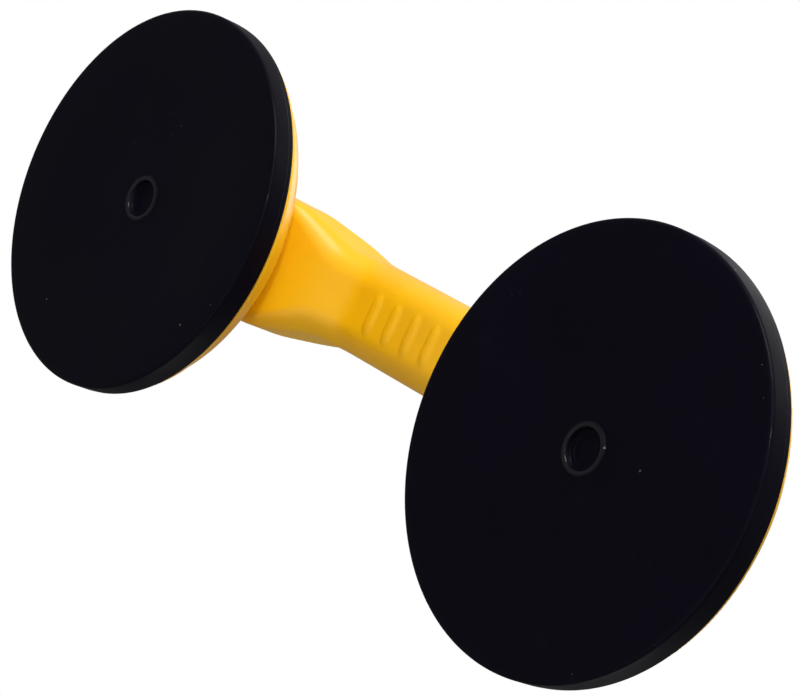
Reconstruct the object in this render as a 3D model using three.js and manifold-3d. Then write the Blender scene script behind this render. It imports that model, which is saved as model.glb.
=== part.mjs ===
// Twin-cup vacuum lifter: two rubber suction pads under domed housings, joined by a raised
// grip, with one cam lever over each cup. Lengths are in millimetres.
// +X runs along the handle, +Z points away from the pads' sealing faces, and the origin is
// on the sealing plane midway between the cups. The levers are modelled locked, which draws
// the middle of each pad up by CAM_LIFT.

import * as THREE from 'three';
import { mergeVertices } from 'three/addons/utils/BufferGeometryUtils.js';
import Module from 'manifold-3d';

// ---- driving dimensions -------------------------------------------------------------

const CUP_SPACING = 206.6;
const ROUND_STEPS = 40;
const SMALL_STEPS = 16;
const BRIDGE_STEPS = 60;
const COVER_STEPS = 16;
const TROUGH_STEPS = 10;
const TOUCH_GAP = 0.3;

// Rubber pad
const PAD_RADIUS = 59;
const PAD_RIM_THICKNESS = 7.8;
const PAD_EDGE_ROUND = 1.6;
const PAD_WEB_THICKNESS = 5.3;
const PAD_SEAL_WIDTH = 9;
const DIMPLE_RADIUS = 7.2;
const DIMPLE_DEPTH = 1.5;

// Steel core disc bonded to the pad, and the stud riveted through it
const DISC_RADIUS = 22;
const DISC_THICKNESS = 2.5;
const RIVET_RADIUS = 6.5;
const RIVET_THICKNESS = 1.8;
const SPIGOT_RADIUS = 3.7;
const STUD_RADIUS = 5;
const STUD_FLANGE_WIDTH = 2.5;
const STUD_FLANGE_THICKNESS = 1.5;
const EYE_RADIUS = 7.2;
const EYE_THICKNESS = 11;

// Cup housing
const HOUSING_EDGE_INSET = 1.4;
const HOUSING_LIP_HEIGHT = 1.6;
const HOUSING_LIP_STEP = 1.2;
const HOUSING_DRAFT = 9.5;
const HOUSING_TOP_ROUND = 1.6;
const HOUSING_TOP_Z = 20;
const HOUSING_PLATE = 3.5;
const HOUSING_SEAT_WIDTH = 7.6;
const BOSS_SIDE_GAP = 0.5;
const BOSS_HEIGHT = 4;
const BORE_CLEARANCE = 0.5;

// Slip washer under the cam
const WASHER_EDGE_INSET = 1.8;
const WASHER_THICKNESS = 1.5;

// Cam lever
const CAM_HEIGHT = 13;
const CAM_LIFT = 2;
const CAM_TRAVEL_DEG = 100;
const CAM_FLAT = 7;
const LEVER_REACH = 51;
const LEVER_RISE_DEG = 14.5;
const LEVER_THICKNESS = 5.5;
const LEVER_ARM_OFFSET = 3.4;
const LEVER_HALF_WIDTH = 14;
const LEVER_TIP_HALF_WIDTH = 11.5;
const LEVER_TIP_ROUND = 7;
const LEVER_TIP_RUN = 14;
const LEVER_FLARE_RUN = 14.6;
const EAR_THICKNESS = 5.4;
const FORK_CLEARANCE = 0.6;
const FORK_DEPTH = 9.4;

// Pivot pin and its retaining rings
const PIN_RADIUS = 3;
const PIN_CLEARANCE = 0.3;
const PIN_END = 1.8;
const GROOVE_DEPTH = 0.6;
const RING_THICKNESS = 0.9;
const RING_OUTER_RADIUS = 5.4;
const RING_OPENING_DEG = 80;
const RING_GAP = 0.4;

// Neck and grip
const NECK_WALL = 4.2;
const GRIP_HALF_WIDTH = 14;
const GRIP_BOTTOM_Z = 37;
const GRIP_TOP_Z = 61;
const NECK_FOOT_REACH = 31.8;
const NECK_BEND_REACH = 65.3;
const NECK_NARROW_START_REACH = 40.8;
const NECK_NARROW_END_REACH = 54.8;
const CHEEK_TOP_Z = 37;
const CHEEK_END_Z = 21.5;
const CHEEK_OVERHANG = 17;
const CHEEK_END_RUN = 13;
const NECK_RISE_START_REACH = 38.8;
const NECK_RISE_END_REACH = 51.8;
const CHANNEL_CLEARANCE = 1.3;
const CHANNEL_FLOOR = 4;
const CHANNEL_TIP_GAP = 5.3;
const CHANNEL_TAPER_REACH = 35.3;
const CHANNEL_TIP_INSET = 4.3;
const NECK_CORNER = 2.4;
const GRIP_CORNER = 7.6;

// Grip cover
const COVER_END_BLOCK = 7;
const COVER_SPLIT_Z = 50;
const COVER_JOINT = 0.3;
const GRIP_WALL = 3;
const TROUGH_END_WALL = 2.5;
const SCREW_END_DISTANCE = 9;
const SCREW_RADIUS = 1.6;
const SCREW_LENGTH = 15;
const SCREW_HEAD_RADIUS = 3.8;
const SCREW_HEAD_HEIGHT = 2.4;
const SCREW_HEAD_SINK = 0.8;
const SCREW_CLEARANCE = 0.3;
const SCREW_BOSS_WALL = 2.4;
const DRIVE_WIDTH = 0.9;
const DRIVE_DEPTH = 1.3;

// Raised finger ribs under the grip
const RIB_COUNT = 7;
const RIB_PITCH = 9;
const RIB_WIDTH = 3.2;
const RIB_LENGTH = 12;
const RIB_HEIGHT = 0.6;

// ---- values that follow from them ---------------------------------------------------

const CUP_X = CUP_SPACING / 2;
const PAD_SEAL_RADIUS = PAD_RADIUS - PAD_SEAL_WIDTH;
const HOUSING_FOOT_RADIUS = PAD_RADIUS - HOUSING_EDGE_INSET;
const HOUSING_TOP_RADIUS = HOUSING_FOOT_RADIUS - HOUSING_DRAFT;
const HOUSING_SEAT_RADIUS = HOUSING_FOOT_RADIUS - HOUSING_SEAT_WIDTH;
const STUD_FLANGE_RADIUS = STUD_RADIUS + STUD_FLANGE_WIDTH;
const CHANNEL_HALF = LEVER_HALF_WIDTH + CHANNEL_CLEARANCE;
const BOSS_RADIUS = CHANNEL_HALF - BOSS_SIDE_GAP;
const WASHER_RADIUS = BOSS_RADIUS - WASHER_EDGE_INSET;
const NECK_HALF_WIDTH = CHANNEL_HALF + NECK_WALL;
const NECK_FOOT_X = CUP_X - NECK_FOOT_REACH;
const NECK_BEND_X = CUP_X - NECK_BEND_REACH;
const NECK_NARROW_START_X = CUP_X - NECK_NARROW_START_REACH;
const NECK_NARROW_END_X = CUP_X - NECK_NARROW_END_REACH;
const NECK_RISE_START_X = CUP_X - NECK_RISE_START_REACH;
const NECK_RISE_END_X = CUP_X - NECK_RISE_END_REACH;
const CHANNEL_END_X = CUP_X - LEVER_REACH - CHANNEL_TIP_GAP;
const COVER_HALF_LENGTH = CHANNEL_END_X - COVER_END_BLOCK;
const TROUGH_HALF_LENGTH = COVER_HALF_LENGTH - TROUGH_END_WALL;
const SCREW_X = COVER_HALF_LENGTH - SCREW_END_DISTANCE;
const DISH_Z = CAM_LIFT;
const PAD_CENTRE_TOP_Z = DISH_Z + PAD_WEB_THICKNESS;
const DISC_Z = PAD_CENTRE_TOP_Z + TOUCH_GAP;
const DISC_TOP_Z = DISC_Z + DISC_THICKNESS;
const FLANGE_Z = DISC_TOP_Z + TOUCH_GAP;
const HOUSING_FOOT_Z = PAD_RIM_THICKNESS + TOUCH_GAP;
const BOSS_TOP_Z = HOUSING_TOP_Z + BOSS_HEIGHT;
const WASHER_Z = BOSS_TOP_Z + TOUCH_GAP;
const WASHER_TOP_Z = WASHER_Z + WASHER_THICKNESS;
const PIN_Z = WASHER_TOP_Z + TOUCH_GAP + CAM_HEIGHT;
const FORK_HALF = Math.max(EYE_THICKNESS / 2, STUD_RADIUS) + FORK_CLEARANCE;
const HUB_HALF = FORK_HALF + EAR_THICKNESS;
const BRIDGE_END_X = CUP_X + CHEEK_OVERHANG;

// ---- helpers ------------------------------------------------------------------------

const wasm = await Module();
wasm.setup();

function toSolid(geometry) {
  const bare = geometry.index ? geometry.toNonIndexed() : geometry.clone();
  for (const name of Object.keys(bare.attributes)) {
    if (name !== 'position') bare.deleteAttribute(name);
  }
  const merged = mergeVertices(bare, 1e-4);
  const mesh = new wasm.Mesh({
    numProp: 3,
    vertProperties: new Float32Array(merged.attributes.position.array),
    triVerts: new Uint32Array(merged.index.array),
  });
  mesh.merge();
  return new wasm.Manifold(mesh);
}

function toGeometry(solid) {
  const mesh = solid.getMesh();
  const geometry = new THREE.BufferGeometry();
  const position = new THREE.BufferAttribute(new Float32Array(mesh.vertProperties), 3);
  geometry.setAttribute('position', position);
  geometry.setIndex(new THREE.BufferAttribute(new Uint32Array(mesh.triVerts), 1));
  geometry.computeVertexNormals();
  return geometry;
}

function unite(solids) {
  return solids.reduce((whole, next) => whole.add(next));
}

// A value that runs from v0 at u0 to v1 at u1 and is held beyond them, with rounded bends
// whose share of the run is set by softness (0 is sharp, 0.5 is an S-curve).
function ramp(u, u0, u1, v0, v1, softness) {
  const t = (u - u0) / (u1 - u0);
  let s = t;
  if (t < -softness) s = 0;
  else if (t < softness) s = (t + softness) ** 2 / (4 * softness);
  else if (t > 1 + softness) s = 1;
  else if (t > 1 - softness) s = 1 - (1 + softness - t) ** 2 / (4 * softness);
  return v0 + (v1 - v0) * s;
}

function shapeFrom(points) {
  return new THREE.Shape(points.map(([x, y]) => new THREE.Vector2(x, y)));
}

// Turns an outline of [radius, height] points about Z.
function turned(points, steps = ROUND_STEPS) {
  const profile = points.map(([r, z]) => new THREE.Vector2(r, z));
  const geometry = new THREE.LatheGeometry(profile, steps);
  geometry.rotateX(Math.PI / 2);
  return toSolid(geometry);
}

// Extrudes an outline drawn in X and Z to reach halfWidth on both sides of Y = 0.
function acrossY(shape, halfWidth, curveSegments = SMALL_STEPS) {
  const geometry = new THREE.ExtrudeGeometry(shape, {
    depth: 2 * halfWidth,
    bevelEnabled: false,
    curveSegments,
  });
  geometry.translate(0, 0, -halfWidth);
  geometry.rotateX(Math.PI / 2);
  return toSolid(geometry);
}

// Extrudes an outline drawn in X and Y from z0 to z1.
function upZ(shape, z0, z1, curveSegments = SMALL_STEPS) {
  const geometry = new THREE.ExtrudeGeometry(shape, {
    depth: z1 - z0,
    bevelEnabled: false,
    curveSegments,
  });
  geometry.translate(0, 0, z0);
  return toSolid(geometry);
}

function block(x0, x1, y0, y1, z0, z1) {
  const geometry = new THREE.BoxGeometry(x1 - x0, y1 - y0, z1 - z0);
  geometry.translate((x0 + x1) / 2, (y0 + y1) / 2, (z0 + z1) / 2);
  return toSolid(geometry);
}

function rod(radius, z0, z1, x = 0, steps = SMALL_STEPS) {
  const geometry = new THREE.CylinderGeometry(radius, radius, z1 - z0, steps);
  geometry.rotateX(Math.PI / 2);
  geometry.translate(x, 0, (z0 + z1) / 2);
  return toSolid(geometry);
}

function crossRod(radius, halfLength, z) {
  const geometry = new THREE.CylinderGeometry(radius, radius, 2 * halfLength, SMALL_STEPS);
  geometry.translate(0, 0, z);
  return toSolid(geometry);
}

// ---- materials ----------------------------------------------------------------------

const FINISHES = {
  yellow: { color: 0xf2b705, roughness: 0.42, metalness: 0 },
  rubber: { color: 0x0b0a10, roughness: 0.62, metalness: 0 },
  black: { color: 0x141416, roughness: 0.45, metalness: 0 },
  zinc: { color: 0xa9adb0, roughness: 0.35, metalness: 0.9 },
  spring: { color: 0x3a3c40, roughness: 0.4, metalness: 0.8 },
};

function named(name, solid, finish) {
  const material = new THREE.MeshStandardMaterial(FINISHES[finish]);
  const mesh = new THREE.Mesh(toGeometry(solid), material);
  mesh.name = name;
  return mesh;
}

// ---- rubber pad ---------------------------------------------------------------------

function padFaceHeight(r) {
  return ramp(r, DISC_RADIUS, PAD_SEAL_RADIUS, DISH_Z, 0, 0.3);
}

function padTopHeight(r) {
  return ramp(r, DISC_RADIUS, HOUSING_SEAT_RADIUS, PAD_CENTRE_TOP_Z, PAD_RIM_THICKNESS, 0.3);
}

function makePad() {
  const points = [];
  const dimpleTop = DISH_Z + DIMPLE_DEPTH;
  points.push([0, dimpleTop], [DIMPLE_RADIUS - 1, dimpleTop]);
  points.push([DIMPLE_RADIUS - TOUCH_GAP, DISH_Z + DIMPLE_DEPTH / 2], [DIMPLE_RADIUS, DISH_Z]);
  const webSteps = 6;
  const webStart = DISC_RADIUS * 0.64;
  const webEnd = PAD_SEAL_RADIUS + PAD_SEAL_WIDTH * 0.45;
  for (let i = 0; i <= webSteps; i += 1) {
    const r = THREE.MathUtils.lerp(webStart, webEnd, i / webSteps);
    points.push([r, padFaceHeight(r)]);
  }
  points[points.length - 1][1] = 0;
  points.push([PAD_RADIUS - PAD_EDGE_ROUND, 0]);
  points.push([PAD_RADIUS - PAD_EDGE_ROUND * 0.3, PAD_EDGE_ROUND * 0.3]);
  points.push([PAD_RADIUS, PAD_EDGE_ROUND]);
  points.push([PAD_RADIUS, PAD_RIM_THICKNESS - PAD_EDGE_ROUND / 2]);
  points.push([PAD_RADIUS - PAD_EDGE_ROUND / 2, PAD_RIM_THICKNESS]);
  const rimInner = HOUSING_SEAT_RADIUS + HOUSING_SEAT_WIDTH / 3;
  points.push([rimInner, PAD_RIM_THICKNESS]);
  for (let i = 1; i <= webSteps; i += 1) {
    const r = THREE.MathUtils.lerp(rimInner, webStart, i / webSteps);
    points.push([r, Math.min(padTopHeight(r), PAD_CENTRE_TOP_Z)]);
  }
  const pocketRadius = RIVET_RADIUS + TOUCH_GAP;
  const pocketFloor = PAD_CENTRE_TOP_Z - RIVET_THICKNESS - TOUCH_GAP;
  points.push([pocketRadius, PAD_CENTRE_TOP_Z], [pocketRadius, pocketFloor], [0, pocketFloor]);
  return turned(points);
}

// ---- disc and stud ------------------------------------------------------------------

function makeDisc() {
  const plate = turned([
    [0, DISC_Z],
    [DISC_RADIUS - 0.5, DISC_Z],
    [DISC_RADIUS, DISC_Z + 0.5],
    [DISC_RADIUS, DISC_TOP_Z - 0.5],
    [DISC_RADIUS - 0.5, DISC_TOP_Z],
    [0, DISC_TOP_Z],
  ]);
  return plate.subtract(rod(SPIGOT_RADIUS + TOUCH_GAP, DISC_Z - 1, DISC_TOP_Z + 1));
}

function makeStud() {
  const rivetTop = PAD_CENTRE_TOP_Z;
  const rivetBottom = rivetTop - RIVET_THICKNESS;
  const body = turned([
    [0, rivetBottom],
    [RIVET_RADIUS - 1, rivetBottom],
    [RIVET_RADIUS, rivetBottom + 0.8],
    [RIVET_RADIUS, rivetTop],
    [SPIGOT_RADIUS, rivetTop],
    [SPIGOT_RADIUS, FLANGE_Z],
    [STUD_FLANGE_RADIUS, FLANGE_Z],
    [STUD_FLANGE_RADIUS, FLANGE_Z + STUD_FLANGE_THICKNESS],
    [STUD_RADIUS, FLANGE_Z + STUD_FLANGE_THICKNESS],
    [STUD_RADIUS, PIN_Z],
    [0, PIN_Z],
  ], SMALL_STEPS);
  const eye = crossRod(EYE_RADIUS, EYE_THICKNESS / 2, PIN_Z);
  const hole = crossRod(PIN_RADIUS + PIN_CLEARANCE, EYE_THICKNESS, PIN_Z);
  return body.add(eye).subtract(hole);
}

// ---- washer, pin and rings ----------------------------------------------------------

function makeWasher() {
  const disc = rod(WASHER_RADIUS, WASHER_Z, WASHER_TOP_Z, 0, ROUND_STEPS);
  const hole = rod(STUD_RADIUS + BORE_CLEARANCE, WASHER_Z - 1, WASHER_TOP_Z + 1);
  return disc.subtract(hole);
}

function ringStart() {
  return HUB_HALF + RING_GAP;
}

function makePin() {
  const end = ringStart() + RING_THICKNESS + PIN_END;
  const start = ringStart() - RING_GAP / 2;
  const stop = ringStart() + RING_THICKNESS + RING_GAP / 2;
  const neck = PIN_RADIUS - GROOVE_DEPTH;
  const half = [
    [PIN_RADIUS, start],
    [neck, start],
    [neck, stop],
    [PIN_RADIUS, stop],
    [PIN_RADIUS, end - 0.6],
    [PIN_RADIUS - 0.6, end],
    [0, end],
  ];
  const other = half.map(([r, z]) => [r, -z]).reverse();
  const pin = turned([...other, ...half], SMALL_STEPS);
  return pin.rotate([90, 0, 0]).translate([0, 0, PIN_Z]);
}

function makeRing(side) {
  const inner = PIN_RADIUS - GROOVE_DEPTH + TOUCH_GAP;
  const half = THREE.MathUtils.degToRad(RING_OPENING_DEG / 2);
  const shape = new THREE.Shape();
  shape.absarc(0, 0, RING_OUTER_RADIUS, half, 2 * Math.PI - half, false);
  shape.absarc(0, 0, inner, 2 * Math.PI - half, half, true);
  shape.closePath();
  const ring = acrossY(shape, RING_THICKNESS / 2);
  const y = side * (ringStart() + RING_THICKNESS / 2);
  return ring.rotate([0, 90, 0]).translate([0, y, PIN_Z]);
}

// ---- cam lever ----------------------------------------------------------------------

// The cam's outline about the pin: a curve whose distance from the pin to its tangent falls
// evenly with the lever's angle, so the stud sinks evenly as the lever is raised.
function camPoint(turn) {
  const travel = THREE.MathUtils.degToRad(CAM_TRAVEL_DEG);
  const slope = CAM_LIFT / travel;
  const height = CAM_HEIGHT - slope * turn;
  const angle = -Math.PI / 2 - turn;
  const x = height * Math.cos(angle) - slope * Math.sin(angle);
  const z = height * Math.sin(angle) + slope * Math.cos(angle);
  return [x, z];
}

function leverSideShape() {
  const travel = THREE.MathUtils.degToRad(CAM_TRAVEL_DEG);
  const rise = THREE.MathUtils.degToRad(LEVER_RISE_DEG);
  const along = (reach, lift) => [
    reach * Math.cos(rise) - lift * Math.sin(rise),
    reach * Math.sin(rise) + lift * Math.cos(rise),
  ];
  const points = [[CAM_FLAT, -CAM_HEIGHT]];
  const camSteps = 12;
  for (let i = 0; i <= camSteps; i += 1) {
    points.push(camPoint(travel * i / camSteps));
  }
  const low = LEVER_ARM_OFFSET;
  const high = LEVER_ARM_OFFSET + LEVER_THICKNESS;
  const crown = CAM_HEIGHT - CAM_LIFT;
  points.push([-crown * 0.9, crown * 0.4], [-crown * 0.55, crown * 0.78], along(2, high));
  points.push(along(LEVER_REACH - 2.5, high + 0.8), along(LEVER_REACH - 0.6, high - 0.4));
  points.push(along(LEVER_REACH, high - 2.4), along(LEVER_REACH - 1.6, low + 0.6));
  points.push(along(LEVER_REACH * 0.6, low), along(FORK_DEPTH + 6, low - 1.4));
  points.push(along(FORK_DEPTH + 2, low - 5));
  return shapeFrom(points);
}

function leverPlanShape() {
  const start = -CAM_HEIGHT - 2;
  const shape = new THREE.Shape();
  const tip = LEVER_REACH - LEVER_ARM_OFFSET;
  const shoulder = tip - LEVER_TIP_RUN;
  const corner = tip - 2;
  const nose = LEVER_TIP_HALF_WIDTH - LEVER_TIP_ROUND;
  const flare = FORK_DEPTH + LEVER_FLARE_RUN;
  const bend = FORK_DEPTH + LEVER_FLARE_RUN * 0.45;
  const wide = LEVER_HALF_WIDTH;
  shape.moveTo(start, -HUB_HALF);
  shape.lineTo(FORK_DEPTH, -HUB_HALF);
  shape.bezierCurveTo(bend, -HUB_HALF, bend, -wide, flare, -wide);
  shape.lineTo(shoulder, -wide);
  shape.quadraticCurveTo(corner, -wide, tip, -nose);
  shape.quadraticCurveTo(tip + 1, 0, tip, nose);
  shape.quadraticCurveTo(corner, wide, shoulder, wide);
  shape.lineTo(flare, wide);
  shape.bezierCurveTo(bend, wide, bend, HUB_HALF, FORK_DEPTH, HUB_HALF);
  shape.lineTo(start, HUB_HALF);
  shape.closePath();
  return shape;
}

function makeLever() {
  const side = acrossY(leverSideShape(), LEVER_HALF_WIDTH + 1);
  const plan = upZ(leverPlanShape(), -CAM_HEIGHT - 2, LEVER_REACH, 8);
  const far = 2 * CAM_HEIGHT;
  const slot = block(-far, FORK_DEPTH, -FORK_HALF, FORK_HALF, -far, far);
  const hole = crossRod(PIN_RADIUS + PIN_CLEARANCE, HUB_HALF + 1, 0);
  return side.intersect(plan).subtract(slot).subtract(hole).translate([0, 0, PIN_Z]);
}

// ---- housings, neck and grip --------------------------------------------------------

function undersideZ(u) {
  const low = HOUSING_TOP_Z - HOUSING_PLATE / 2;
  return ramp(u, NECK_FOOT_X, NECK_BEND_X, low, GRIP_BOTTOM_Z, 0.08);
}

function topsideZ(u) {
  const end = ramp(u, BRIDGE_END_X, BRIDGE_END_X - CHEEK_END_RUN, CHEEK_END_Z, CHEEK_TOP_Z, 0.4);
  const rise = ramp(u, NECK_RISE_START_X, NECK_RISE_END_X, 0, GRIP_TOP_Z - CHEEK_TOP_Z, 0.45);
  return end + rise;
}

function halfWidth(u) {
  const from = NECK_NARROW_START_X;
  return ramp(u, from, NECK_NARROW_END_X, NECK_HALF_WIDTH, GRIP_HALF_WIDTH, 0.2);
}

function cornerRadius(u) {
  return ramp(u, NECK_FOOT_X - 8, NECK_BEND_X, NECK_CORNER, GRIP_CORNER, 0.3);
}

// One rounded rectangle of the bridge at a distance u from the middle, as [y, z] points.
function bridgeSection(u, inset) {
  const cornerSteps = 4;
  const w = halfWidth(u) - inset;
  const z0 = undersideZ(u) + inset;
  const z1 = topsideZ(u) - inset;
  const r = Math.min(cornerRadius(u) - inset, w * 0.95, (z1 - z0) * 0.48);
  const corners = [[w - r, z1 - r, 0], [r - w, z1 - r, 1], [r - w, z0 + r, 2], [w - r, z0 + r, 3]];
  const points = [];
  for (const [y, z, quarter] of corners) {
    for (let i = 0; i <= cornerSteps; i += 1) {
      const a = (quarter + i / cornerSteps) * Math.PI / 2;
      points.push([y + r * Math.cos(a), z + r * Math.sin(a)]);
    }
  }
  return points;
}

// A closed solid through the bridge's sections between two places along X.
function bridgeLoft(x0, x1, steps, inset) {
  const rings = [];
  for (let i = 0; i <= steps; i += 1) {
    const x = THREE.MathUtils.lerp(x0, x1, i / steps);
    rings.push(bridgeSection(Math.abs(x), inset).map(([y, z]) => [x, y, z]));
  }
  const count = rings[0].length;
  const position = rings.flat(2);
  const index = [];
  for (let i = 0; i < steps; i += 1) {
    for (let j = 0; j < count; j += 1) {
      const a = i * count + j;
      const b = i * count + (j + 1) % count;
      index.push(a, b, a + count, b, b + count, a + count);
    }
  }
  for (let j = 1; j < count - 1; j += 1) {
    index.push(0, j + 1, j);
    const last = steps * count;
    index.push(last, last + j, last + j + 1);
  }
  const geometry = new THREE.BufferGeometry();
  geometry.setAttribute('position', new THREE.Float32BufferAttribute(position, 3));
  geometry.setIndex(index);
  return toSolid(geometry);
}

// The lever's channel, open upwards, seen from the side.
function channelSideShape() {
  const points = [];
  const stepCount = 14;
  const far = BRIDGE_END_X + 5;
  points.push([-far, HOUSING_TOP_Z]);
  for (let i = 0; i <= stepCount; i += 1) {
    const u = THREE.MathUtils.lerp(NECK_FOOT_X + 5, CHANNEL_END_X, i / stepCount);
    points.push([-u, Math.max(HOUSING_TOP_Z, undersideZ(u) + CHANNEL_FLOOR)]);
  }
  points.push([-CHANNEL_END_X, GRIP_TOP_Z + 5], [-far, GRIP_TOP_Z + 5]);
  return shapeFrom(points);
}

// The same channel seen from above: it narrows towards the lever's tip.
function channelPlanShape() {
  const far = BRIDGE_END_X + 5;
  const taper = CUP_X - CHANNEL_TAPER_REACH;
  const tipHalf = CHANNEL_HALF - CHANNEL_TIP_INSET;
  return shapeFrom([
    [-far, -CHANNEL_HALF],
    [-taper, -CHANNEL_HALF],
    [-CHANNEL_END_X, -tipHalf],
    [-CHANNEL_END_X, tipHalf],
    [-taper, CHANNEL_HALF],
    [-far, CHANNEL_HALF],
  ]);
}

function makeHousing() {
  const footRadius = HOUSING_FOOT_RADIUS;
  const lipTop = HOUSING_FOOT_Z + HOUSING_LIP_HEIGHT;
  const shoulder = footRadius - HOUSING_LIP_STEP;
  const ceiling = HOUSING_TOP_Z - HOUSING_PLATE;
  const seat = HOUSING_SEAT_RADIUS;
  const round = HOUSING_TOP_ROUND;
  const sideZ = (lipTop + HOUSING_TOP_Z) / 2 + 1;
  const sideRadius = (shoulder + HOUSING_TOP_RADIUS) / 2 + 0.8;
  return turned([
    [0, ceiling],
    [seat - 5, ceiling],
    [seat - 2.4, ceiling - 2],
    [seat - 1, HOUSING_FOOT_Z + 1],
    [seat, HOUSING_FOOT_Z],
    [footRadius - 0.4, HOUSING_FOOT_Z],
    [footRadius, HOUSING_FOOT_Z + 0.4],
    [footRadius, lipTop],
    [shoulder, lipTop + 0.6],
    [sideRadius, sideZ],
    [HOUSING_TOP_RADIUS + 0.3, HOUSING_TOP_Z - round],
    [HOUSING_TOP_RADIUS - round * 0.3, HOUSING_TOP_Z - round * 0.3],
    [HOUSING_TOP_RADIUS - round, HOUSING_TOP_Z],
    [0, HOUSING_TOP_Z],
  ]);
}

function makeRibs() {
  const ribs = [];
  for (let i = 0; i < RIB_COUNT; i += 1) {
    const x = (i - (RIB_COUNT - 1) / 2) * RIB_PITCH;
    const bottom = GRIP_BOTTOM_Z - RIB_HEIGHT;
    const top = GRIP_BOTTOM_Z + GRIP_WALL / 2;
    const w = RIB_WIDTH / 2;
    ribs.push(block(x - w, x + w, -RIB_LENGTH / 2, RIB_LENGTH / 2, bottom, top));
  }
  return unite(ribs);
}

function atBothEnds(solid) {
  const left = solid.translate([-CUP_X, 0, 0]);
  return left.add(left.rotate([0, 0, 180]));
}

// The hollow inside the grip.
function makeTrough() {
  return bridgeLoft(-TROUGH_HALF_LENGTH, TROUGH_HALF_LENGTH, TROUGH_STEPS, GRIP_WALL);
}

function makeHandleBody() {
  const bridge = bridgeLoft(-BRIDGE_END_X, BRIDGE_END_X, BRIDGE_STEPS, 0);
  const channelSide = acrossY(channelSideShape(), CHANNEL_HALF);
  const leftChannel = channelSide.intersect(upZ(channelPlanShape(), 0, GRIP_TOP_Z + 6));
  const channels = leftChannel.add(leftChannel.rotate([0, 0, 180]));
  const half = COVER_HALF_LENGTH + COVER_JOINT;
  const wide = NECK_HALF_WIDTH + 5;
  const lid = block(-half, half, -wide, wide, COVER_SPLIT_Z, GRIP_TOP_Z + 5);
  const boss = rod(BOSS_RADIUS, HOUSING_TOP_Z - HOUSING_PLATE / 2, BOSS_TOP_Z, 0, ROUND_STEPS);
  const bore = rod(STUD_RADIUS + BORE_CLEARANCE, 0, BOSS_TOP_Z + 5);
  const cup = makeHousing().add(boss);
  const screwBossRadius = SCREW_RADIUS + SCREW_CLEARANCE + SCREW_BOSS_WALL;
  const posts = [];
  const pilots = [];
  for (const x of [-SCREW_X, SCREW_X]) {
    posts.push(rod(screwBossRadius, GRIP_BOTTOM_Z + GRIP_WALL / 2, COVER_SPLIT_Z, x));
    const pilotBottom = screwSeatZ() - SCREW_LENGTH - 1;
    pilots.push(rod(SCREW_RADIUS + SCREW_CLEARANCE, pilotBottom, GRIP_TOP_Z, x));
  }
  return bridge
    .subtract(channels)
    .subtract(makeTrough())
    .subtract(lid)
    .add(unite(posts))
    .subtract(unite(pilots))
    .add(atBothEnds(cup))
    .subtract(atBothEnds(bore))
    .add(makeRibs());
}

function screwSeatZ() {
  return GRIP_TOP_Z - SCREW_HEAD_SINK - SCREW_HEAD_HEIGHT - SCREW_CLEARANCE;
}

function makeGripCover() {
  const outer = bridgeLoft(-COVER_HALF_LENGTH, COVER_HALF_LENGTH, COVER_STEPS, 0);
  const inner = makeTrough();
  const wide = NECK_HALF_WIDTH + 5;
  const floorZ = COVER_SPLIT_Z + COVER_JOINT;
  const half = COVER_HALF_LENGTH;
  const keep = block(-half, half, -wide, wide, floorZ, GRIP_TOP_Z + 5);
  const headHole = SCREW_HEAD_RADIUS + SCREW_CLEARANCE;
  const posts = [];
  const holes = [];
  for (const x of [-SCREW_X, SCREW_X]) {
    posts.push(rod(headHole + SCREW_BOSS_WALL / 2, floorZ, GRIP_TOP_Z - GRIP_WALL / 2, x));
    holes.push(rod(SCREW_RADIUS + SCREW_CLEARANCE, floorZ - 1, GRIP_TOP_Z, x));
    holes.push(rod(headHole, screwSeatZ(), GRIP_TOP_Z + 5, x));
  }
  return outer.intersect(keep).subtract(inner).add(unite(posts)).subtract(unite(holes));
}

function makeScrew(x) {
  const headBottom = screwSeatZ() + SCREW_CLEARANCE;
  const headTop = headBottom + SCREW_HEAD_HEIGHT;
  const tip = headBottom - SCREW_LENGTH;
  const body = turned([
    [0, tip],
    [SCREW_RADIUS * 0.4, tip],
    [SCREW_RADIUS, tip + 2],
    [SCREW_RADIUS, headBottom],
    [SCREW_HEAD_RADIUS, headBottom],
    [SCREW_HEAD_RADIUS, headBottom + SCREW_HEAD_HEIGHT * 0.45],
    [SCREW_HEAD_RADIUS * 0.75, headTop - 0.3],
    [SCREW_HEAD_RADIUS * 0.35, headTop],
    [0, headTop],
  ], SMALL_STEPS);
  const arm = SCREW_HEAD_RADIUS * 0.6;
  const half = DRIVE_WIDTH / 2;
  const slots = unite([
    block(-arm, arm, -half, half, headTop - DRIVE_DEPTH, headTop + 1),
    block(-half, half, -arm, arm, headTop - DRIVE_DEPTH, headTop + 1),
  ]);
  return body.subtract(slots).translate([x, 0, 0]);
}

// ---- assembly -----------------------------------------------------------------------

function makeCup(side) {
  const cup = new THREE.Group();
  cup.add(named(`rubber_pad_${side}`, makePad(), 'rubber'));
  cup.add(named(`core_disc_${side}`, makeDisc(), 'zinc'));
  cup.add(named(`pull_stud_${side}`, makeStud(), 'zinc'));
  cup.add(named(`slip_washer_${side}`, makeWasher(), 'zinc'));
  cup.add(named(`cam_lever_${side}`, makeLever(), 'black'));
  cup.add(named(`pivot_pin_${side}`, makePin(), 'zinc'));
  cup.add(named(`pin_ring_front_${side}`, makeRing(-1), 'spring'));
  cup.add(named(`pin_ring_rear_${side}`, makeRing(1), 'spring'));
  return cup;
}

const lifter = new THREE.Group();
lifter.add(named('handle_body', makeHandleBody(), 'yellow'));
lifter.add(named('grip_cover', makeGripCover(), 'yellow'));
lifter.add(named('cover_screw_left', makeScrew(-SCREW_X), 'zinc'));
lifter.add(named('cover_screw_right', makeScrew(SCREW_X), 'zinc'));

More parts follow.
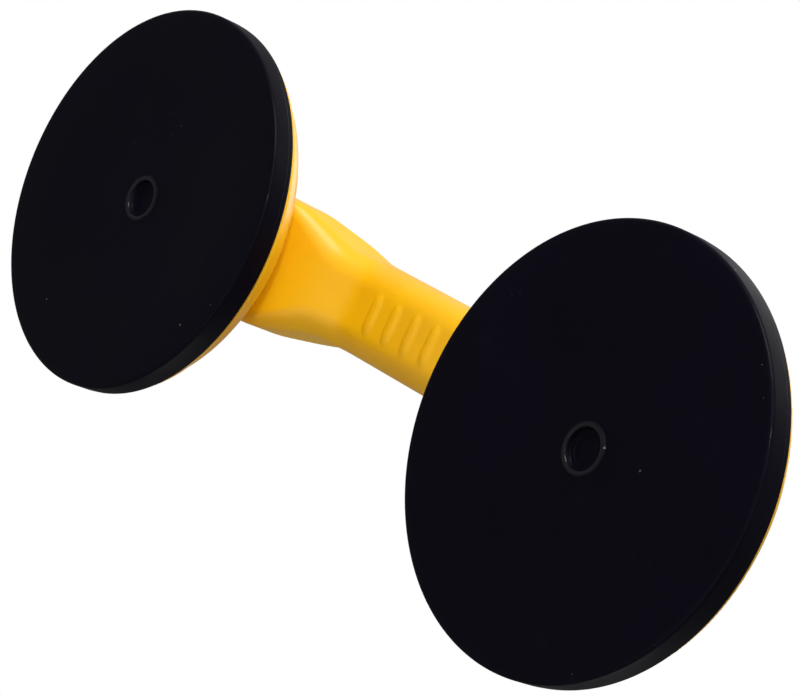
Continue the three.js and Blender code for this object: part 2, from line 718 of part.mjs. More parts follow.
const leftCup = makeCup('left');
leftCup.position.x = -CUP_X;
lifter.add(leftCup);

const rightCup = makeCup('right');
rightCup.position.x = CUP_X;
rightCup.rotation.z = Math.PI;
lifter.add(rightCup);

export default lifter;
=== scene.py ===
"""Twin-cup vacuum lifter: the finished look of every piece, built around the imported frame.

Every shape is a surface worked out with numpy in metres: a profile turned about an axis, a
section carried along a path, or an outline given a thickness. Moulded pieces are joined from
such surfaces, wrapped in one even skin and smoothed, which rounds their edges as a mould does.
"""

import math

import bmesh
import bpy
import numpy as np
from bpy.props import FloatProperty, FloatVectorProperty, IntProperty, PointerProperty
from mathutils import Matrix, Vector


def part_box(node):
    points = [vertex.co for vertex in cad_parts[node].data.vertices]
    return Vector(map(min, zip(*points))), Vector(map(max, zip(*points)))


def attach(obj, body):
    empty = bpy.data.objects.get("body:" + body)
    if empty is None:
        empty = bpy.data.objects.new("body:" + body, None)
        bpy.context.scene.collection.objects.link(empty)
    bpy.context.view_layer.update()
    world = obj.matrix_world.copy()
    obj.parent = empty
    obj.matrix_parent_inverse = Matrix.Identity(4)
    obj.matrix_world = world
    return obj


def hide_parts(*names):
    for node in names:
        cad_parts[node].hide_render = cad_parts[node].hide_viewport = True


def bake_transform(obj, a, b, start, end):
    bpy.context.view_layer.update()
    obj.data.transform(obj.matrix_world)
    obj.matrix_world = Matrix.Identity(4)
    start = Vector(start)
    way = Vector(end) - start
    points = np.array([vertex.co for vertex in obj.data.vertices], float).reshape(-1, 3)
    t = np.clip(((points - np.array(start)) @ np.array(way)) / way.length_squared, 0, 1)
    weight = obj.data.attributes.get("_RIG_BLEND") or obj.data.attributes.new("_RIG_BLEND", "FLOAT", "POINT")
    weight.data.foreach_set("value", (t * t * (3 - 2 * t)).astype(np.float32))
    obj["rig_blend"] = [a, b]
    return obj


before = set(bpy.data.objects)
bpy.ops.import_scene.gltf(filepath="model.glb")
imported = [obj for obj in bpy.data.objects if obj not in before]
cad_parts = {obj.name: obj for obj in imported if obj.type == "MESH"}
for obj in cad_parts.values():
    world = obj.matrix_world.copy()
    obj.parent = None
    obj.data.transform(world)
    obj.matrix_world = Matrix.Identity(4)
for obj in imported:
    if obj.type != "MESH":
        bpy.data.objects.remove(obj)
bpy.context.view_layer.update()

bl_info = {
    "name": "Vacuum lifter",
    "version": (1, 0, 0),
    "blender": (4, 5, 0),
    "location": "View3D > Sidebar > Lifter",
    "description": "Builds a twin-cup vacuum lifter around its packed frame",
    "category": "Add Mesh",
}

MM = 0.001
SIDES = ("left", "right")
HANDLE = "handle"
FULL_TURN = 2 * math.pi

TOUCH_GAP = 0.3 * MM
CUT_MARGIN = 5 * MM
SCREW_HEAD = 2.4 * MM
EYE_HALF = 5.5 * MM
STUD_SHAFT = 5 * MM
DISC_HOLE = 4 * MM
HANDLE_VOXEL = 0.5 * MM
COVER_VOXEL = 0.4 * MM
LEVER_VOXEL = 0.32 * MM
STUD_VOXEL = 0.22 * MM
MOST_TRIANGLES = 190000
MERGE_DISTANCE = 1e-7
ON_AXIS = 1e-9
NEARLY_STRAIGHT = 1e-3
SMOOTH_IN, SMOOTH_BACK = 0.5, -0.53
BEND_SCALE, EDGE_SHOWN = 5.0, 1.6
UNDERSIDE_SOFTNESS = 0.08
CHEEK_SOFTNESS = 0.4
RISE_SOFTNESS = 0.45
NARROWING_SOFTNESS = 0.2
CORNER_SOFTNESS = 0.3
DISH_SOFTNESS = 0.3
POST_STEPS, BORE_STEPS, ROUND_STEPS = 48, 64, 96
HOUSING_STEPS, PAD_STEPS = 192, 256
SENSOR_WIDTH = 36
CAMERA_SHIFT = (0.00125, 0.0051)
CAMERA_CLIP = (0.01, 50)
WHITE = (1, 1, 1, 1)
WORLD_BRIGHT, WORLD_DIM = 0.7, 0.18
FLOOR_RADIUS, COVE_RISE = 6.0, 0.5
FLOOR_RINGS, FLOOR_STEPS = 40, 96


# ---- sizes and colours a user may change --------------------------------------------


def length(label, description, millimetres):
    """A length property with its default given in millimetres."""
    return FloatProperty(
        name=label, description=description, default=millimetres * MM, unit="LENGTH", precision=5
    )


def colour(label, description, default):
    """A colour property."""
    return FloatVectorProperty(
        name=label, description=description, default=default, subtype="COLOR", min=0, max=1
    )


class LifterCupSizes(bpy.types.PropertyGroup):
    """Sizes of one suction pad and its housing."""

    pad_radius: length("Pad radius", "Outer radius of the rubber pad", 59)
    pad_edge_round: length("Pad edge round", "Rounding where the face meets the edge", 1.1)
    pad_rim: length("Pad rim thickness", "Thickness of the rubber at its edge", 7.8)
    pad_web: length("Pad web thickness", "Thickness of the rubber over the core disc", 5.3)
    dish: length("Dish depth", "How far the locked lever draws the pad's middle up", 2)
    dish_inner: length("Dish floor radius", "Radius of the flat middle of the pad", 22)
    seal_radius: length("Seal radius", "Inner radius of the sealing ring", 50)
    eyelet_radius: length("Eyelet radius", "Radius of the moulded eyelet in the middle", 6.6)
    eyelet_depth: length("Eyelet depth", "Depth of the moulded eyelet", 1.5)
    foot_radius: length("Housing foot radius", "Radius of the lip that bears on the rubber", 57.6)
    foot_z: length("Housing foot height", "Height of the lip's lower face", 8.1)
    lip_height: length("Lip height", "Height of the lip round the foot", 1.7)
    lip_step: length("Lip step", "How far the wall stands in from the lip", 1.3)
    top_radius: length("Housing top radius", "Radius where the wall meets the top plate", 48.1)
    top_z: length("Housing top height", "Height of the top plate", 20)
    plate: length("Top plate", "Thickness of the top plate", 3.5)
    seat_radius: length("Seat radius", "Inner radius of the ring that bears on the rubber", 50)
    bore_radius: length("Bore radius", "Radius of the hole that guides the stud", 5.5)
    boss_radius: length("Boss radius", "Radius of the boss under the washer", 14.8)
    boss_height: length("Boss height", "Height of the boss above the top plate", 4)


class LifterHandleSizes(bpy.types.PropertyGroup):
    """Sizes of the neck and the grip, measured from the middle of the handle."""

    neck_half: length("Neck half width", "Half the width of the neck beside the lever", 19.5)
    grip_half: length("Grip half width", "Half the width of the grip", 14)
    grip_bottom: length("Grip bottom", "Height of the grip's underside", 37)
    grip_top: length("Grip top", "Height of the grip's top", 61)
    foot_x: length("Neck foot", "Where the neck leaves the housing", 71.5)
    bend_x: length("Neck bend", "Where the neck's underside meets the grip", 38)
    narrow_start: length("Narrowing start", "Where the neck starts to narrow", 62.5)
    narrow_end: length("Narrowing end", "Where the neck has the grip's width", 48.5)
    cheek_top: length("Cheek top", "Height of the cheeks beside the lever", 37)
    cheek_end: length("Cheek end height", "Height of the cheeks at their outer end", 21.5)
    cheek_overhang: length("Cheek overhang", "How far the cheeks pass the stud", 17)
    cheek_run: length("Cheek run", "Length of the slope at the cheeks' outer end", 13)
    rise_start: length("Rise start", "Where the cheeks start to rise to the grip", 64.5)
    rise_end: length("Rise end", "Where the cheeks have the grip's height", 51.5)
    channel_half: length("Channel half width", "Half the width of the lever's channel", 15.3)
    channel_floor: length("Channel floor", "Thickness of the floor under the lever", 4)
    channel_end: length("Channel end", "Where the channel stops at the grip", 47)
    channel_taper: length("Channel taper", "Where the channel starts to narrow", 68)
    channel_tip: length("Channel tip", "Half the width of the channel at the grip", 11)
    neck_corner: length("Neck corner", "Rounding of the neck's edges", 2.6)
    grip_corner: length("Grip corner", "Rounding of the grip's edges", 8.4)
    wall: length("Grip wall", "Wall of the hollow grip", 3)
    cover_half: length("Cover half length", "Half the length of the grip's cover", 40)
    cover_split: length("Cover split", "Height of the joint under the cover", 50)
    joint: length("Cover joint", "Width of the joint round the cover", 0.3)
    trough_half: length("Trough half length", "Half the length of the hollow in the grip", 37.5)
    screw_x: length("Screw place", "Distance of each screw from the middle", 31)
    screw_hole: length("Screw hole", "Radius of the hole for the screw's shank", 1.9)
    screw_well: length("Screw well", "Radius of the well for the screw's head", 4.1)
    rib_pitch: length("Rib pitch", "Distance between the finger ribs under the grip", 9)
    rib_width: length("Rib width", "Width of a finger rib", 3.4)
    rib_length: length("Rib length", "Length of a finger rib across the grip", 12.6)
    rib_height: length("Rib height", "How far a finger rib stands out", 0.6)
    rib_count: IntProperty(name="Ribs", description="Finger ribs under the grip", default=7)


class LifterLeverSizes(bpy.types.PropertyGroup):
    """Sizes of a cam lever, measured from its pin."""

    cam_height: length("Cam height", "Distance from the pin to the washer when locked", 13)
    cam_lift: length("Cam lift", "How far the cam lets the stud down", 2)
    travel: FloatProperty(
        name="Travel", description="Turn from locked to released",
        default=math.radians(100), unit="ROTATION",
    )
    rise: FloatProperty(
        name="Rise", description="Slope of the arm when locked",
        default=math.radians(14.5), unit="ROTATION",
    )
    reach: length("Reach", "Length of the arm from the pin", 51)
    thickness: length("Arm thickness", "Thickness of the arm", 5.5)
    offset: length("Arm offset", "Height of the arm's underside above the pin", 3.4)
    half_width: length("Half width", "Half the width of the arm", 14)
    hub_half: length("Hub half width", "Half the width over the two ears", 11.5)
    fork_half: length("Fork half width", "Half the width of the slot between the ears", 6.1)
    fork_depth: length("Fork depth", "Depth of the slot past the pin", 9.4)
    pin_hole: length("Pin hole", "Radius of the hole for the pin", 3.3)


class LifterColours(bpy.types.PropertyGroup):
    """Colours of the finishes."""

    plastic: colour("Plastic", "Moulded handle plastic", (0.93, 0.5, 0.0015))
    plastic_deep: colour("Plastic, deep", "Handle plastic in its darker patches", (0.86, 0.42, 0.0012))
    rubber: colour("Rubber", "Pad rubber", (0.0008, 0.0005, 0.0032))
    lever: colour("Lever", "Black lever plastic", (0.017, 0.017, 0.019))
    zinc: colour("Zinc", "Zinc-plated steel", (0.62, 0.63, 0.64))
    spring: colour("Spring steel", "Blacked spring steel", (0.12, 0.12, 0.13))
    floor: colour("Floor", "Floor under the lifter", (0.86, 0.86, 0.86))


class LifterStage(bpy.types.PropertyGroup):
    """Camera and lights."""

    azimuth: FloatProperty(
        name="Azimuth", description="Direction of the camera round the lifter",
        default=math.radians(84.16), unit="ROTATION",
    )
    elevation: FloatProperty(
        name="Elevation", description="Height of the camera, below the pads when negative",
        default=math.radians(-42.45), unit="ROTATION",
    )
    roll: FloatProperty(
        name="Roll", description="Turn of the camera about its own axis",
        default=math.radians(111.1), unit="ROTATION",
    )
    distance: length("Distance", "From the camera to the point it looks at", 798)
    aim_y: length("Aim across", "Place across the handle that the camera looks at", 4.6)
    aim_z: length("Aim height", "Height that the camera looks at", 27.7)
    lens: FloatProperty(name="Lens", description="Focal length, millimetres", default=129.3)
    floor_drop: length("Floor drop", "How far the floor lies below the lifter", 1700)


# ---- surfaces -----------------------------------------------------------------------


def ramp(u, u0, u1, v0, v1, softness):
    """Runs from v0 at u0 to v1 at u1 and is held beyond them.

    Inside, it is a straight line in the share t of the run. Within softness of each end the
    line becomes the parabola (t + softness)^2 / (4 softness), so both bends are smooth.
    """
    t = (np.asarray(u, float) - u0) / (u1 - u0)
    k = softness
    into = (t + k) ** 2 / (4 * k)
    out = 1 - (1 + k - t) ** 2 / (4 * k)
    share = np.select([t < -k, t < k, t > 1 + k, t > 1 - k], [0 * t, into, 1 + 0 * t, out], t)
    return v0 + (v1 - v0) * share


def new_piece(name, points, faces):
    """A mesh object at the origin from an array of points and a list of faces."""
    mesh = bpy.data.meshes.new(name)
    mesh.from_pydata(np.asarray(points).reshape(-1, 3).tolist(), [], faces)
    mesh.validate()
    piece = bpy.data.objects.new(name, mesh)
    bpy.context.scene.collection.objects.link(piece)
    return piece


def turn_outward(piece):
    """Merges doubled points and turns every face of a closed mesh outwards."""
    work = bmesh.new()
    work.from_mesh(piece.data)
    bmesh.ops.remove_doubles(work, verts=work.verts, dist=MERGE_DISTANCE)
    bmesh.ops.recalc_face_normals(work, faces=work.faces)
    work.to_mesh(piece.data)
    work.free()
    return piece


def grid_faces(rows, columns, wrap_rows=False):
    """Quads of a grid whose columns close on themselves, and whose rows may too."""
    last = rows if wrap_rows else rows - 1
    i, j = np.meshgrid(np.arange(last), np.arange(columns), indexing="ij")
    below, above = i * columns, (i + 1) % rows * columns
    side = (j + 1) % columns
    return np.stack([below + j, below + side, above + side, above + j], -1).reshape(-1, 4)


def revolve(name, profile, steps, centre=(0, 0, 0), axis="Z"):
    """Turns a profile of (radius, height) points: x = r cos a, y = r sin a, z = height.

    A profile that starts and ends on the axis is closed by two poles, and any other one
    closes on itself as a ring.
    """
    profile = np.asarray(profile, float)
    on_axis = profile[0, 0] < ON_AXIS and profile[-1, 0] < ON_AXIS
    body = profile[1:-1] if on_axis else profile
    angle = np.arange(steps) / steps * FULL_TURN
    r, h = body[:, :1], body[:, 1:]
    rings = np.stack([r * np.cos(angle), r * np.sin(angle), h + 0 * angle], -1)
    points = rings.reshape(-1, 3)
    faces = grid_faces(len(body), steps, wrap_rows=not on_axis).tolist()
    if on_axis:
        low, high = len(points), len(points) + 1
        poles = [[0, 0, profile[0, 1]], [0, 0, profile[-1, 1]]]
        points = np.vstack([points, poles])
        j = np.arange(steps)
        k = (j + 1) % steps
        top = (len(body) - 1) * steps
        faces += np.stack([k, j, low + 0 * j], -1).tolist()
        faces += np.stack([top + j, top + k, high + 0 * j], -1).tolist()
    if axis == "Y":
        points = points @ np.array([[1, 0, 0], [0, 0, 1], [0, -1, 0]], float)
    piece = new_piece(name, points + np.asarray(centre, float), faces)
    return turn_outward(piece)


def loft(name, rings):
    """A closed skin through rings of points, shaped (rings, points, 3), with flat ends."""
    count, columns = rings.shape[:2]
    faces = grid_faces(count, columns).tolist()
    faces.append(list(range(columns))[::-1])
    faces.append(list(range((count - 1) * columns, count * columns)))
    return turn_outward(new_piece(name, rings.reshape(-1, 3), faces))


def prism(name, outline, low, high, plane="XZ", offset=(0, 0, 0)):
    """An outline carried straight from low to high across its plane."""
    outline = np.asarray(outline, float)
    a, b = outline[:, 0], outline[:, 1]
    order = {"XZ": lambda t: (a, t + 0 * a, b), "XY": lambda t: (a, b, t + 0 * a)}[plane]
    rings = np.stack([np.stack(order(t), -1) for t in (low, high)])
    return loft(name, rings + np.asarray(offset, float))


def block(name, low, high):
    """A box between two corners, used only to cut with."""
    (x0, y0, z0), (x1, y1, z1) = low, high
    return prism(name, [(x0, y0), (x1, y0), (x1, y1), (x0, y1)], z0, z1, "XY")


def pillow(name, centre, half, power=4.0, steps=32):
    """A rounded block: each coordinate is half * sign(c) |c|^(2/power) of a sphere's."""
    a = np.arange(2 * steps) / steps * math.pi
    b = np.linspace(-math.pi / 2, math.pi / 2, steps + 1)[1:-1, None]

    def bulge(c):
        return np.sign(c) * np.abs(c) ** (2 / power)

    x = bulge(np.cos(b)) * bulge(np.cos(a))
    y = bulge(np.cos(b)) * bulge(np.sin(a))
    z = bulge(np.sin(b)) + 0 * a
    rings = np.stack([x, y, z], -1) * np.asarray(half, float) + np.asarray(centre, float)
    return loft(name, rings)


def rounded(points, radii, steps=8, closed=True):
    """An outline whose corners are arcs.

    Each arc's centre lies on its corner's bisector at radius / sin(half the corner's angle),
    and the arc turns evenly from one side to the other. A radius of 0 keeps the corner.
    """
    points = np.asarray(points, float)
    count = len(points)
    radii = np.broadcast_to(np.asarray(radii, float), (count,))
    parts = []
    for i, (corner, radius) in enumerate(zip(points, radii)):
        if radius <= 0 or (not closed and i in (0, count - 1)):
            parts.append(corner[None])
            continue
        back, ahead = points[i - 1] - corner, points[(i + 1) % count] - corner
        room = 0.49 * min(np.linalg.norm(back), np.linalg.norm(ahead))
        back, ahead = back / np.linalg.norm(back), ahead / np.linalg.norm(ahead)
        half = math.acos(np.clip(back @ ahead, -1, 1)) / 2
        if half > math.pi / 2 - NEARLY_STRAIGHT:
            parts.append(corner[None])
            continue
        run = min(radius / math.tan(half), room)
        bisector = (back + ahead) / np.linalg.norm(back + ahead)
        centre = corner + bisector * run / math.cos(half)
        start, stop = corner + back * run - centre, corner + ahead * run - centre
        a0, a1 = math.atan2(start[1], start[0]), math.atan2(stop[1], stop[0])
        swing = (a1 - a0 + math.pi) % FULL_TURN - math.pi
        a = a0 + swing * np.linspace(0, 1, steps + 1)
        arc = centre + np.linalg.norm(start) * np.stack([np.cos(a), np.sin(a)], -1)
        parts.append(arc)
    return np.vstack(parts)


def rounded_corners(corners, steps, closed=True):
    """An outline from corners given as (x, y, rounding in millimetres)."""
    places = [corner[:2] for corner in corners]
    return rounded(places, [corner[2] * MM for corner in corners], steps, closed)


# ---- joining, cutting and wrapping --------------------------------------------------


def bake_modifiers(piece):
    """Puts the result of a piece's modifiers into its mesh."""
    graph = bpy.context.evaluated_depsgraph_get()
    mesh = bpy.data.meshes.new_from_object(piece.evaluated_get(graph))
    old = piece.data
    piece.modifiers.clear()
    piece.data = mesh
    mesh.name = piece.name
    bpy.data.meshes.remove(old)
    return piece


def drop(piece):
    """Removes a piece that was only used to shape another one."""
    mesh = piece.data
    bpy.data.objects.remove(piece)
    bpy.data.meshes.remove(mesh)


def combine(piece, others, operation):
    """Cuts the others out of a piece, joins them to it or keeps only what they share."""
    for other in others:
        modifier = piece.modifiers.new("combine", "BOOLEAN")
        modifier.operation = operation
        modifier.solver = "EXACT"
        modifier.object = other
        bake_modifiers(piece)
        drop(other)
    return piece


def gather(piece, others):
    """Puts the others' faces into a piece's mesh."""
    work = bmesh.new()
    work.from_mesh(piece.data)
    for other in others:
        work.from_mesh(other.data)
    work.to_mesh(piece.data)
    work.free()
    for other in others:
        drop(other)
    return piece


def neighbour_mean(values, edges, count):
    """The mean of each point's neighbours, from the mesh's edges."""
    a, b = edges[:, 0], edges[:, 1]
    number = np.bincount(a, minlength=count) + np.bincount(b, minlength=count)
    total = np.stack([
        np.bincount(a, values[b, k], count) + np.bincount(b, values[a, k], count)
        for k in range(values.shape[1])
    ], -1)
    return total / np.maximum(number, 1)[:, None]


def mesh_arrays(mesh):
    """A mesh's points and edges as arrays."""
    points = np.empty(len(mesh.vertices) * 3, np.float32)
    mesh.vertices.foreach_get("co", points)
    edges = np.empty(len(mesh.edges) * 2, np.int32)
    mesh.edges.foreach_get("vertices", edges)
    return points.reshape(-1, 3).astype(float), edges.reshape(-1, 2)


def store(mesh, name, values):
    """Stores one number for each point of a mesh."""
    attribute = mesh.attributes.new(name, "FLOAT", "POINT")
    attribute.data.foreach_set("value", values.astype(np.float32))


def even_out(piece, passes, fillets=()):
    """Smooths a skin without shrinking it, and rounds chosen inner corners more.

    Each pass moves every point half way to the mean of its neighbours and then slightly
    further back. A fillet is (mask of the points' coordinates, passes) and only moves inwards.
    """
    mesh = piece.data
    points, edges = mesh_arrays(mesh)
    count = len(points)
    for mask, extra in fillets:
        weight = mask(points)[:, None] * 0.5
        for _ in range(extra):
            points += weight * (neighbour_mean(points, edges, count) - points)
    for _ in range(passes):
        for share in (SMOOTH_IN, SMOOTH_BACK):
            points += share * (neighbour_mean(points, edges, count) - points)
    mesh.vertices.foreach_set("co", points.astype(np.float32).ravel())
    mesh.update()
    mark_edges(mesh, points, edges)
    return piece


def mark_edges(mesh, points, edges):
    """Stores how sharply the skin bends outwards, from 0 on a flat to 1 on an edge.

    The bend is the drop of a point's neighbours below its tangent plane over their distance.
    """
    normals = np.empty(len(points) * 3, np.float32)
    mesh.vertex_normals.foreach_get("vector", normals)
    normals = normals.reshape(-1, 3)
    count = len(points)
    drop_below = ((points - neighbour_mean(points, edges, count)) * normals).sum(1)
    step = np.linalg.norm(points[edges[:, 0]] - points[edges[:, 1]], axis=1).mean()
    bend = np.clip(drop_below / step * BEND_SCALE, -1, 1)
    for _ in range(3):
        bend = 0.5 * bend + 0.5 * neighbour_mean(bend[:, None], edges, count)[:, 0]
    store(mesh, "edge", np.clip(bend * EDGE_SHOWN, 0, 1))


def wrap(piece, voxel, passes=8, fillets=(), most=MOST_TRIANGLES):
    """Wraps joined solids in one even skin and smooths it, as one moulding."""
    coarse = 1
    skin = piece.modifiers.new("wrap", "REMESH")
    skin.mode = "VOXEL"
    skin.voxel_size = voxel * coarse
    skin.adaptivity = 0
    bake_modifiers(piece)
    even_out(piece, passes, fillets)
    triangles = 2 * len(piece.data.polygons)
    if triangles > most:
        thin = piece.modifiers.new("thin", "DECIMATE")
        thin.ratio = most / triangles
        bake_modifiers(piece)
    return piece


def finish_piece(piece, body, nodes, material, blend_to=None):
    """Shades a piece smooth, gives it its finish, hides the frame's nodes it stands for and attaches it to
    its body unless it blends to another.
    """
    piece.data.polygons.foreach_set("use_smooth", [True] * len(piece.data.polygons))
    piece.data.materials.clear()
    piece.data.materials.append(material)
    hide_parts(*nodes)
    if blend_to is None:
        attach(piece, body)
    return piece


# ---- shader building ----------------------------------------------------------------


class Wire:
    """A shader socket that works in Python expressions on values."""

    def __init__(self, finish, socket):
        self.finish = finish
        self.socket = socket

    def maths(self, operation, first, second):
        return self.finish.node("ShaderNodeMath", {"operation": operation}, {0: first, 1: second})

    def __add__(self, other):
        return self.maths("ADD", self, other)

    def __sub__(self, other):
        return self.maths("SUBTRACT", self, other)

    def __rsub__(self, other):
        return self.maths("SUBTRACT", other, self)

    def __mul__(self, other):
        return self.maths("MULTIPLY", self, other)

    def __pow__(self, other):
        return self.maths("POWER", self, other)

    __radd__ = __add__
    __rmul__ = __mul__


class Finish:
    """A material whose nodes are made by calls and by expressions on wires."""

    def __init__(self, name):
        self.material = bpy.data.materials.new(name)
        self.material.use_nodes = True
        self.tree = self.material.node_tree
        self.shader = self.tree.nodes["Principled BSDF"]
        self.place = self.node("ShaderNodeTexCoord", {}, {}, "Object")

    def node(self, kind, settings, inputs, output=0):
        """Adds a node, sets its settings and then its inputs, and returns one output."""
        made = self.tree.nodes.new(kind)
        for key, value in settings.items():
            setattr(made, key, value)
        for key, value in inputs.items():
            self.plug(made.inputs[key], value)
        return Wire(self, made.outputs[output])

    def plug(self, socket, value):
        """Links a wire to a socket or sets its value."""
        if isinstance(value, Wire):
            self.tree.links.new(value.socket, socket)
        elif socket.type == "RGBA":
            socket.default_value = (*tuple(value)[:3], 1.0)
        else:
            socket.default_value = value

    def feed(self, inputs):
        """Sets or links the surface shader's sockets."""
        for key, value in inputs.items():
            self.plug(self.shader.inputs[key], value)
        return self

    def noise(self, scale, detail=3.0, roughness=0.5, where=None):
        inputs = {"Vector": where or self.place, "Scale": scale, "Detail": detail}
        return self.node("ShaderNodeTexNoise", {}, {**inputs, "Roughness": roughness}, "Fac")

    def rings(self, turn, scale):
        """Fine rings about the axis that the turn attribute is measured from."""
        settings = {"noise_dimensions": "1D"}
        return self.node("ShaderNodeTexNoise", settings, {"W": turn, "Scale": scale}, "Fac")

    def spread(self, value, low, high, to_low=0.0, to_high=1.0):
        """Maps low..high of a value to to_low..to_high and holds it beyond them."""
        inputs = {"Value": value, "From Min": low, "From Max": high, "To Min": to_low, "To Max": to_high}
        return self.node("ShaderNodeMapRange", {"clamp": True}, inputs)

    def blend(self, share, first, second):
        """Mixes two colours."""
        return self.node("ShaderNodeMix", {"data_type": "RGBA"}, {0: share, 6: first, 7: second}, 2)

    def attribute(self, name):
        return self.node("ShaderNodeAttribute", {"attribute_name": name}, {}, "Fac")

    def specks(self, scale, size, amount):
        """Small round specks in a share of the cells of a scattered pattern."""
        cell = {"Vector": self.place, "Scale": scale, "Randomness": 1.0}
        near = self.node("ShaderNodeTexVoronoi", {}, cell, "Distance")
        pick = self.node("ShaderNodeTexVoronoi", {}, cell, "Color")
        one = self.node("ShaderNodeSeparateColor", {}, {"Color": pick}, "Red")
        return self.spread(near, size, size * 0.5) * self.spread(one, 1 - amount, 1 - amount * 0.6)

    def bump(self, height, strength, distance):
        inputs = {"Height": height, "Strength": strength, "Distance": distance}
        return self.node("ShaderNodeBump", {}, inputs, "Normal")


def plastic_finish(colours):
    """Moulded yellow plastic: faint flow patches, a fine mould texture and rubbed edges."""
    look = Finish("moulded_yellow_plastic")
    patches = look.noise(14.0, 3.0)
    flow = look.noise(60.0, 4.0, 0.6)
    grain = look.noise(2600.0, 2.0, 0.6)
    wave = look.noise(90.0, 2.0)
    edge = look.attribute("edge")
    rubbed = look.spread(edge * (0.4 + look.noise(420.0, 4.0, 0.65)), 0.32, 0.75)
    base = look.blend(look.spread(patches, 0.35, 0.65), colours.plastic, colours.plastic_deep)
    darker = tuple(c * 0.86 for c in colours.plastic_deep)
    base = look.blend(look.spread(flow, 0.55, 0.8, 0.0, 0.35), base, darker)
    lighter = tuple(min(1.0, c * 1.05 + 0.02) for c in colours.plastic)
    base = look.blend(rubbed * 0.5, base, lighter)
    grime = look.specks(520.0, 0.16, 0.035)
    base = look.blend(grime * 0.35, base, (0.22, 0.12, 0.02))
    height = grain * 0.5 + wave * 0.9
    look.feed({
        "Base Color": base,
        "Roughness": 0.34 + look.spread(flow, 0.3, 0.7, 0.0, 0.12) - rubbed * 0.08,
        "Normal": look.bump(height, 0.22, 0.00025),
        "Specular IOR Level": 0.32,
        "Coat Roughness": 0.16,
        "Coat Weight": 0.1,
    })
    return look.material


def rubber_finish(colours):
    """Moulded rubber: turning marks round the pad, fine grain, bloom and dust specks, with a painted
    highlight on the eyelet's bead and the rim's edge.
    """
    look = Finish("pad_rubber")
    rings = look.rings(look.attribute("turn"), 900.0)
    lip = look.attribute("lip")
    grain = look.noise(1900.0, 3.0, 0.6)
    bloom = look.noise(22.0, 4.0, 0.6)
    dust = look.specks(170.0, 0.07, 0.05) + look.specks(420.0, 0.09, 0.03)
    smear = look.spread(look.noise(48.0, 5.0, 0.7), 0.58, 0.78)
    bloomed = tuple(2.2 * c for c in colours.rubber)
    base = look.blend(look.spread(bloom, 0.4, 0.75, 0.0, 0.6), colours.rubber, bloomed)
    base = look.blend(smear * 0.2, base, (0.009, 0.009, 0.012))
    # Painted highlight: the eyelet's bead and the rim's edge are lightened to grey in place of the lamps'
    # reflection along them.
    base = look.blend(lip * 0.08, base, (0.03, 0.03, 0.036))
    base = look.blend(dust * 0.5, base, (0.16, 0.16, 0.17))
    look.feed({
        "Base Color": base,
        "Roughness": 0.44 + look.spread(bloom, 0.3, 0.7, 0.0, 0.14) + smear * 0.08,
        "Normal": look.bump(grain * 0.6 + rings * 0.4, 0.16, 0.00012),
        "Specular IOR Level": 0.055,
        "Coat Weight": lip * 0.34,
        "Coat Roughness": 0.1,
    })
    return look.material


def lever_finish(colours):
    """Black filled nylon: a leathery mould grain with paler rubbed edges."""
    look = Finish("black_nylon")
    cells = look.node(
        "ShaderNodeTexVoronoi", {}, {"Vector": look.place, "Scale": 1250.0, "Randomness": 1.0}, "Distance"
    )
    grain = look.noise(2400.0, 3.0, 0.6)
    patch = look.noise(70.0, 4.0, 0.6)
    edge = look.attribute("edge")
    rubbed = look.spread(edge * (0.35 + look.noise(500.0, 4.0, 0.7)), 0.32, 0.7)
    base = look.blend(look.spread(patch, 0.4, 0.7), colours.lever, tuple(c * 1.5 for c in colours.lever))
    base = look.blend(rubbed * 0.5, base, (0.075, 0.075, 0.08))
    look.feed({
        "Base Color": base,
        "Roughness": 0.44 + look.spread(patch, 0.35, 0.7, 0.0, 0.12) - rubbed * 0.12,
        "Normal": look.bump(cells * 0.7 + grain * 0.3, 0.3, 0.00022),
        "Specular IOR Level": 0.45,
    })
    return look.material


def steel_finish(name, base_colour, rough, tint):
    """Plated steel: turned rings about the piece's axis, cloudy plating and small scratches."""
    look = Finish(name)
    rings = look.rings(look.attribute("turn"), 5200.0)
    cloud = look.noise(110.0, 4.0, 0.6)
    fine = look.noise(3200.0, 2.0)
    base = look.blend(look.spread(cloud, 0.35, 0.7), base_colour, tint)
    dark = tuple(c * 0.55 for c in base_colour)
    base = look.blend(look.spread(look.noise(300.0, 5.0, 0.7), 0.62, 0.78, 0.0, 0.6), base, dark)
    cloudy = look.spread(cloud, 0.3, 0.7, 0.0, 0.14)
    turned = look.spread(rings, 0.3, 0.7, 0.0, 0.08)
    look.feed({
        "Base Color": base,
        "Metallic": 1.0,
        "Roughness": rough + cloudy + turned,
        "Normal": look.bump(rings * 0.7 + fine * 0.3, 0.14, 0.00008),
    })
    return look.material


FINISHES = {}


def finish(name, context):
    """The finish of that name, made once."""
    if name not in FINISHES:
        colours = context.scene.lifter_colours
        makers = {
            "plastic": lambda: plastic_finish(colours),
            "rubber": lambda: rubber_finish(colours),
            "lever": lambda: lever_finish(colours),
            "zinc": lambda: steel_finish("zinc_plate", colours.zinc, 0.26, (0.66, 0.64, 0.55)),
            "spring": lambda: steel_finish("blacked_spring_steel", colours.spring, 0.34, (0.16, 0.13, 0.11)),
        }
        FINISHES[name] = makers[name]()
    return FINISHES[name]


def mark_turning(piece, centre, axis="Z"):
    """Stores each point's distance from a turning axis plus its place along it."""
    points, _ = mesh_arrays(piece.data)
    offset = points - np.asarray(centre, float)
    along = {"X": 0, "Y": 1, "Z": 2}[axis]
    across = np.delete(offset, along, axis=1)
    value = np.linalg.norm(across, axis=1) + 0.7 * offset[:, along]
    store(piece.data, "turn", value)
    return piece


# ---- places read from the frame -----------------------------------------------------


def span(node):
    """A node's centre, size, lowest and highest corner as arrays."""
    low, high = (np.array(corner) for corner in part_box(node))
    return (low + high) / 2, high - low, low, high


def cup_centre(side):
    """The middle of a cup on the sealing plane."""
    centre, _, low, _ = span(f"rubber_pad_{side}")
    return np.array([centre[0], centre[1], low[2]])


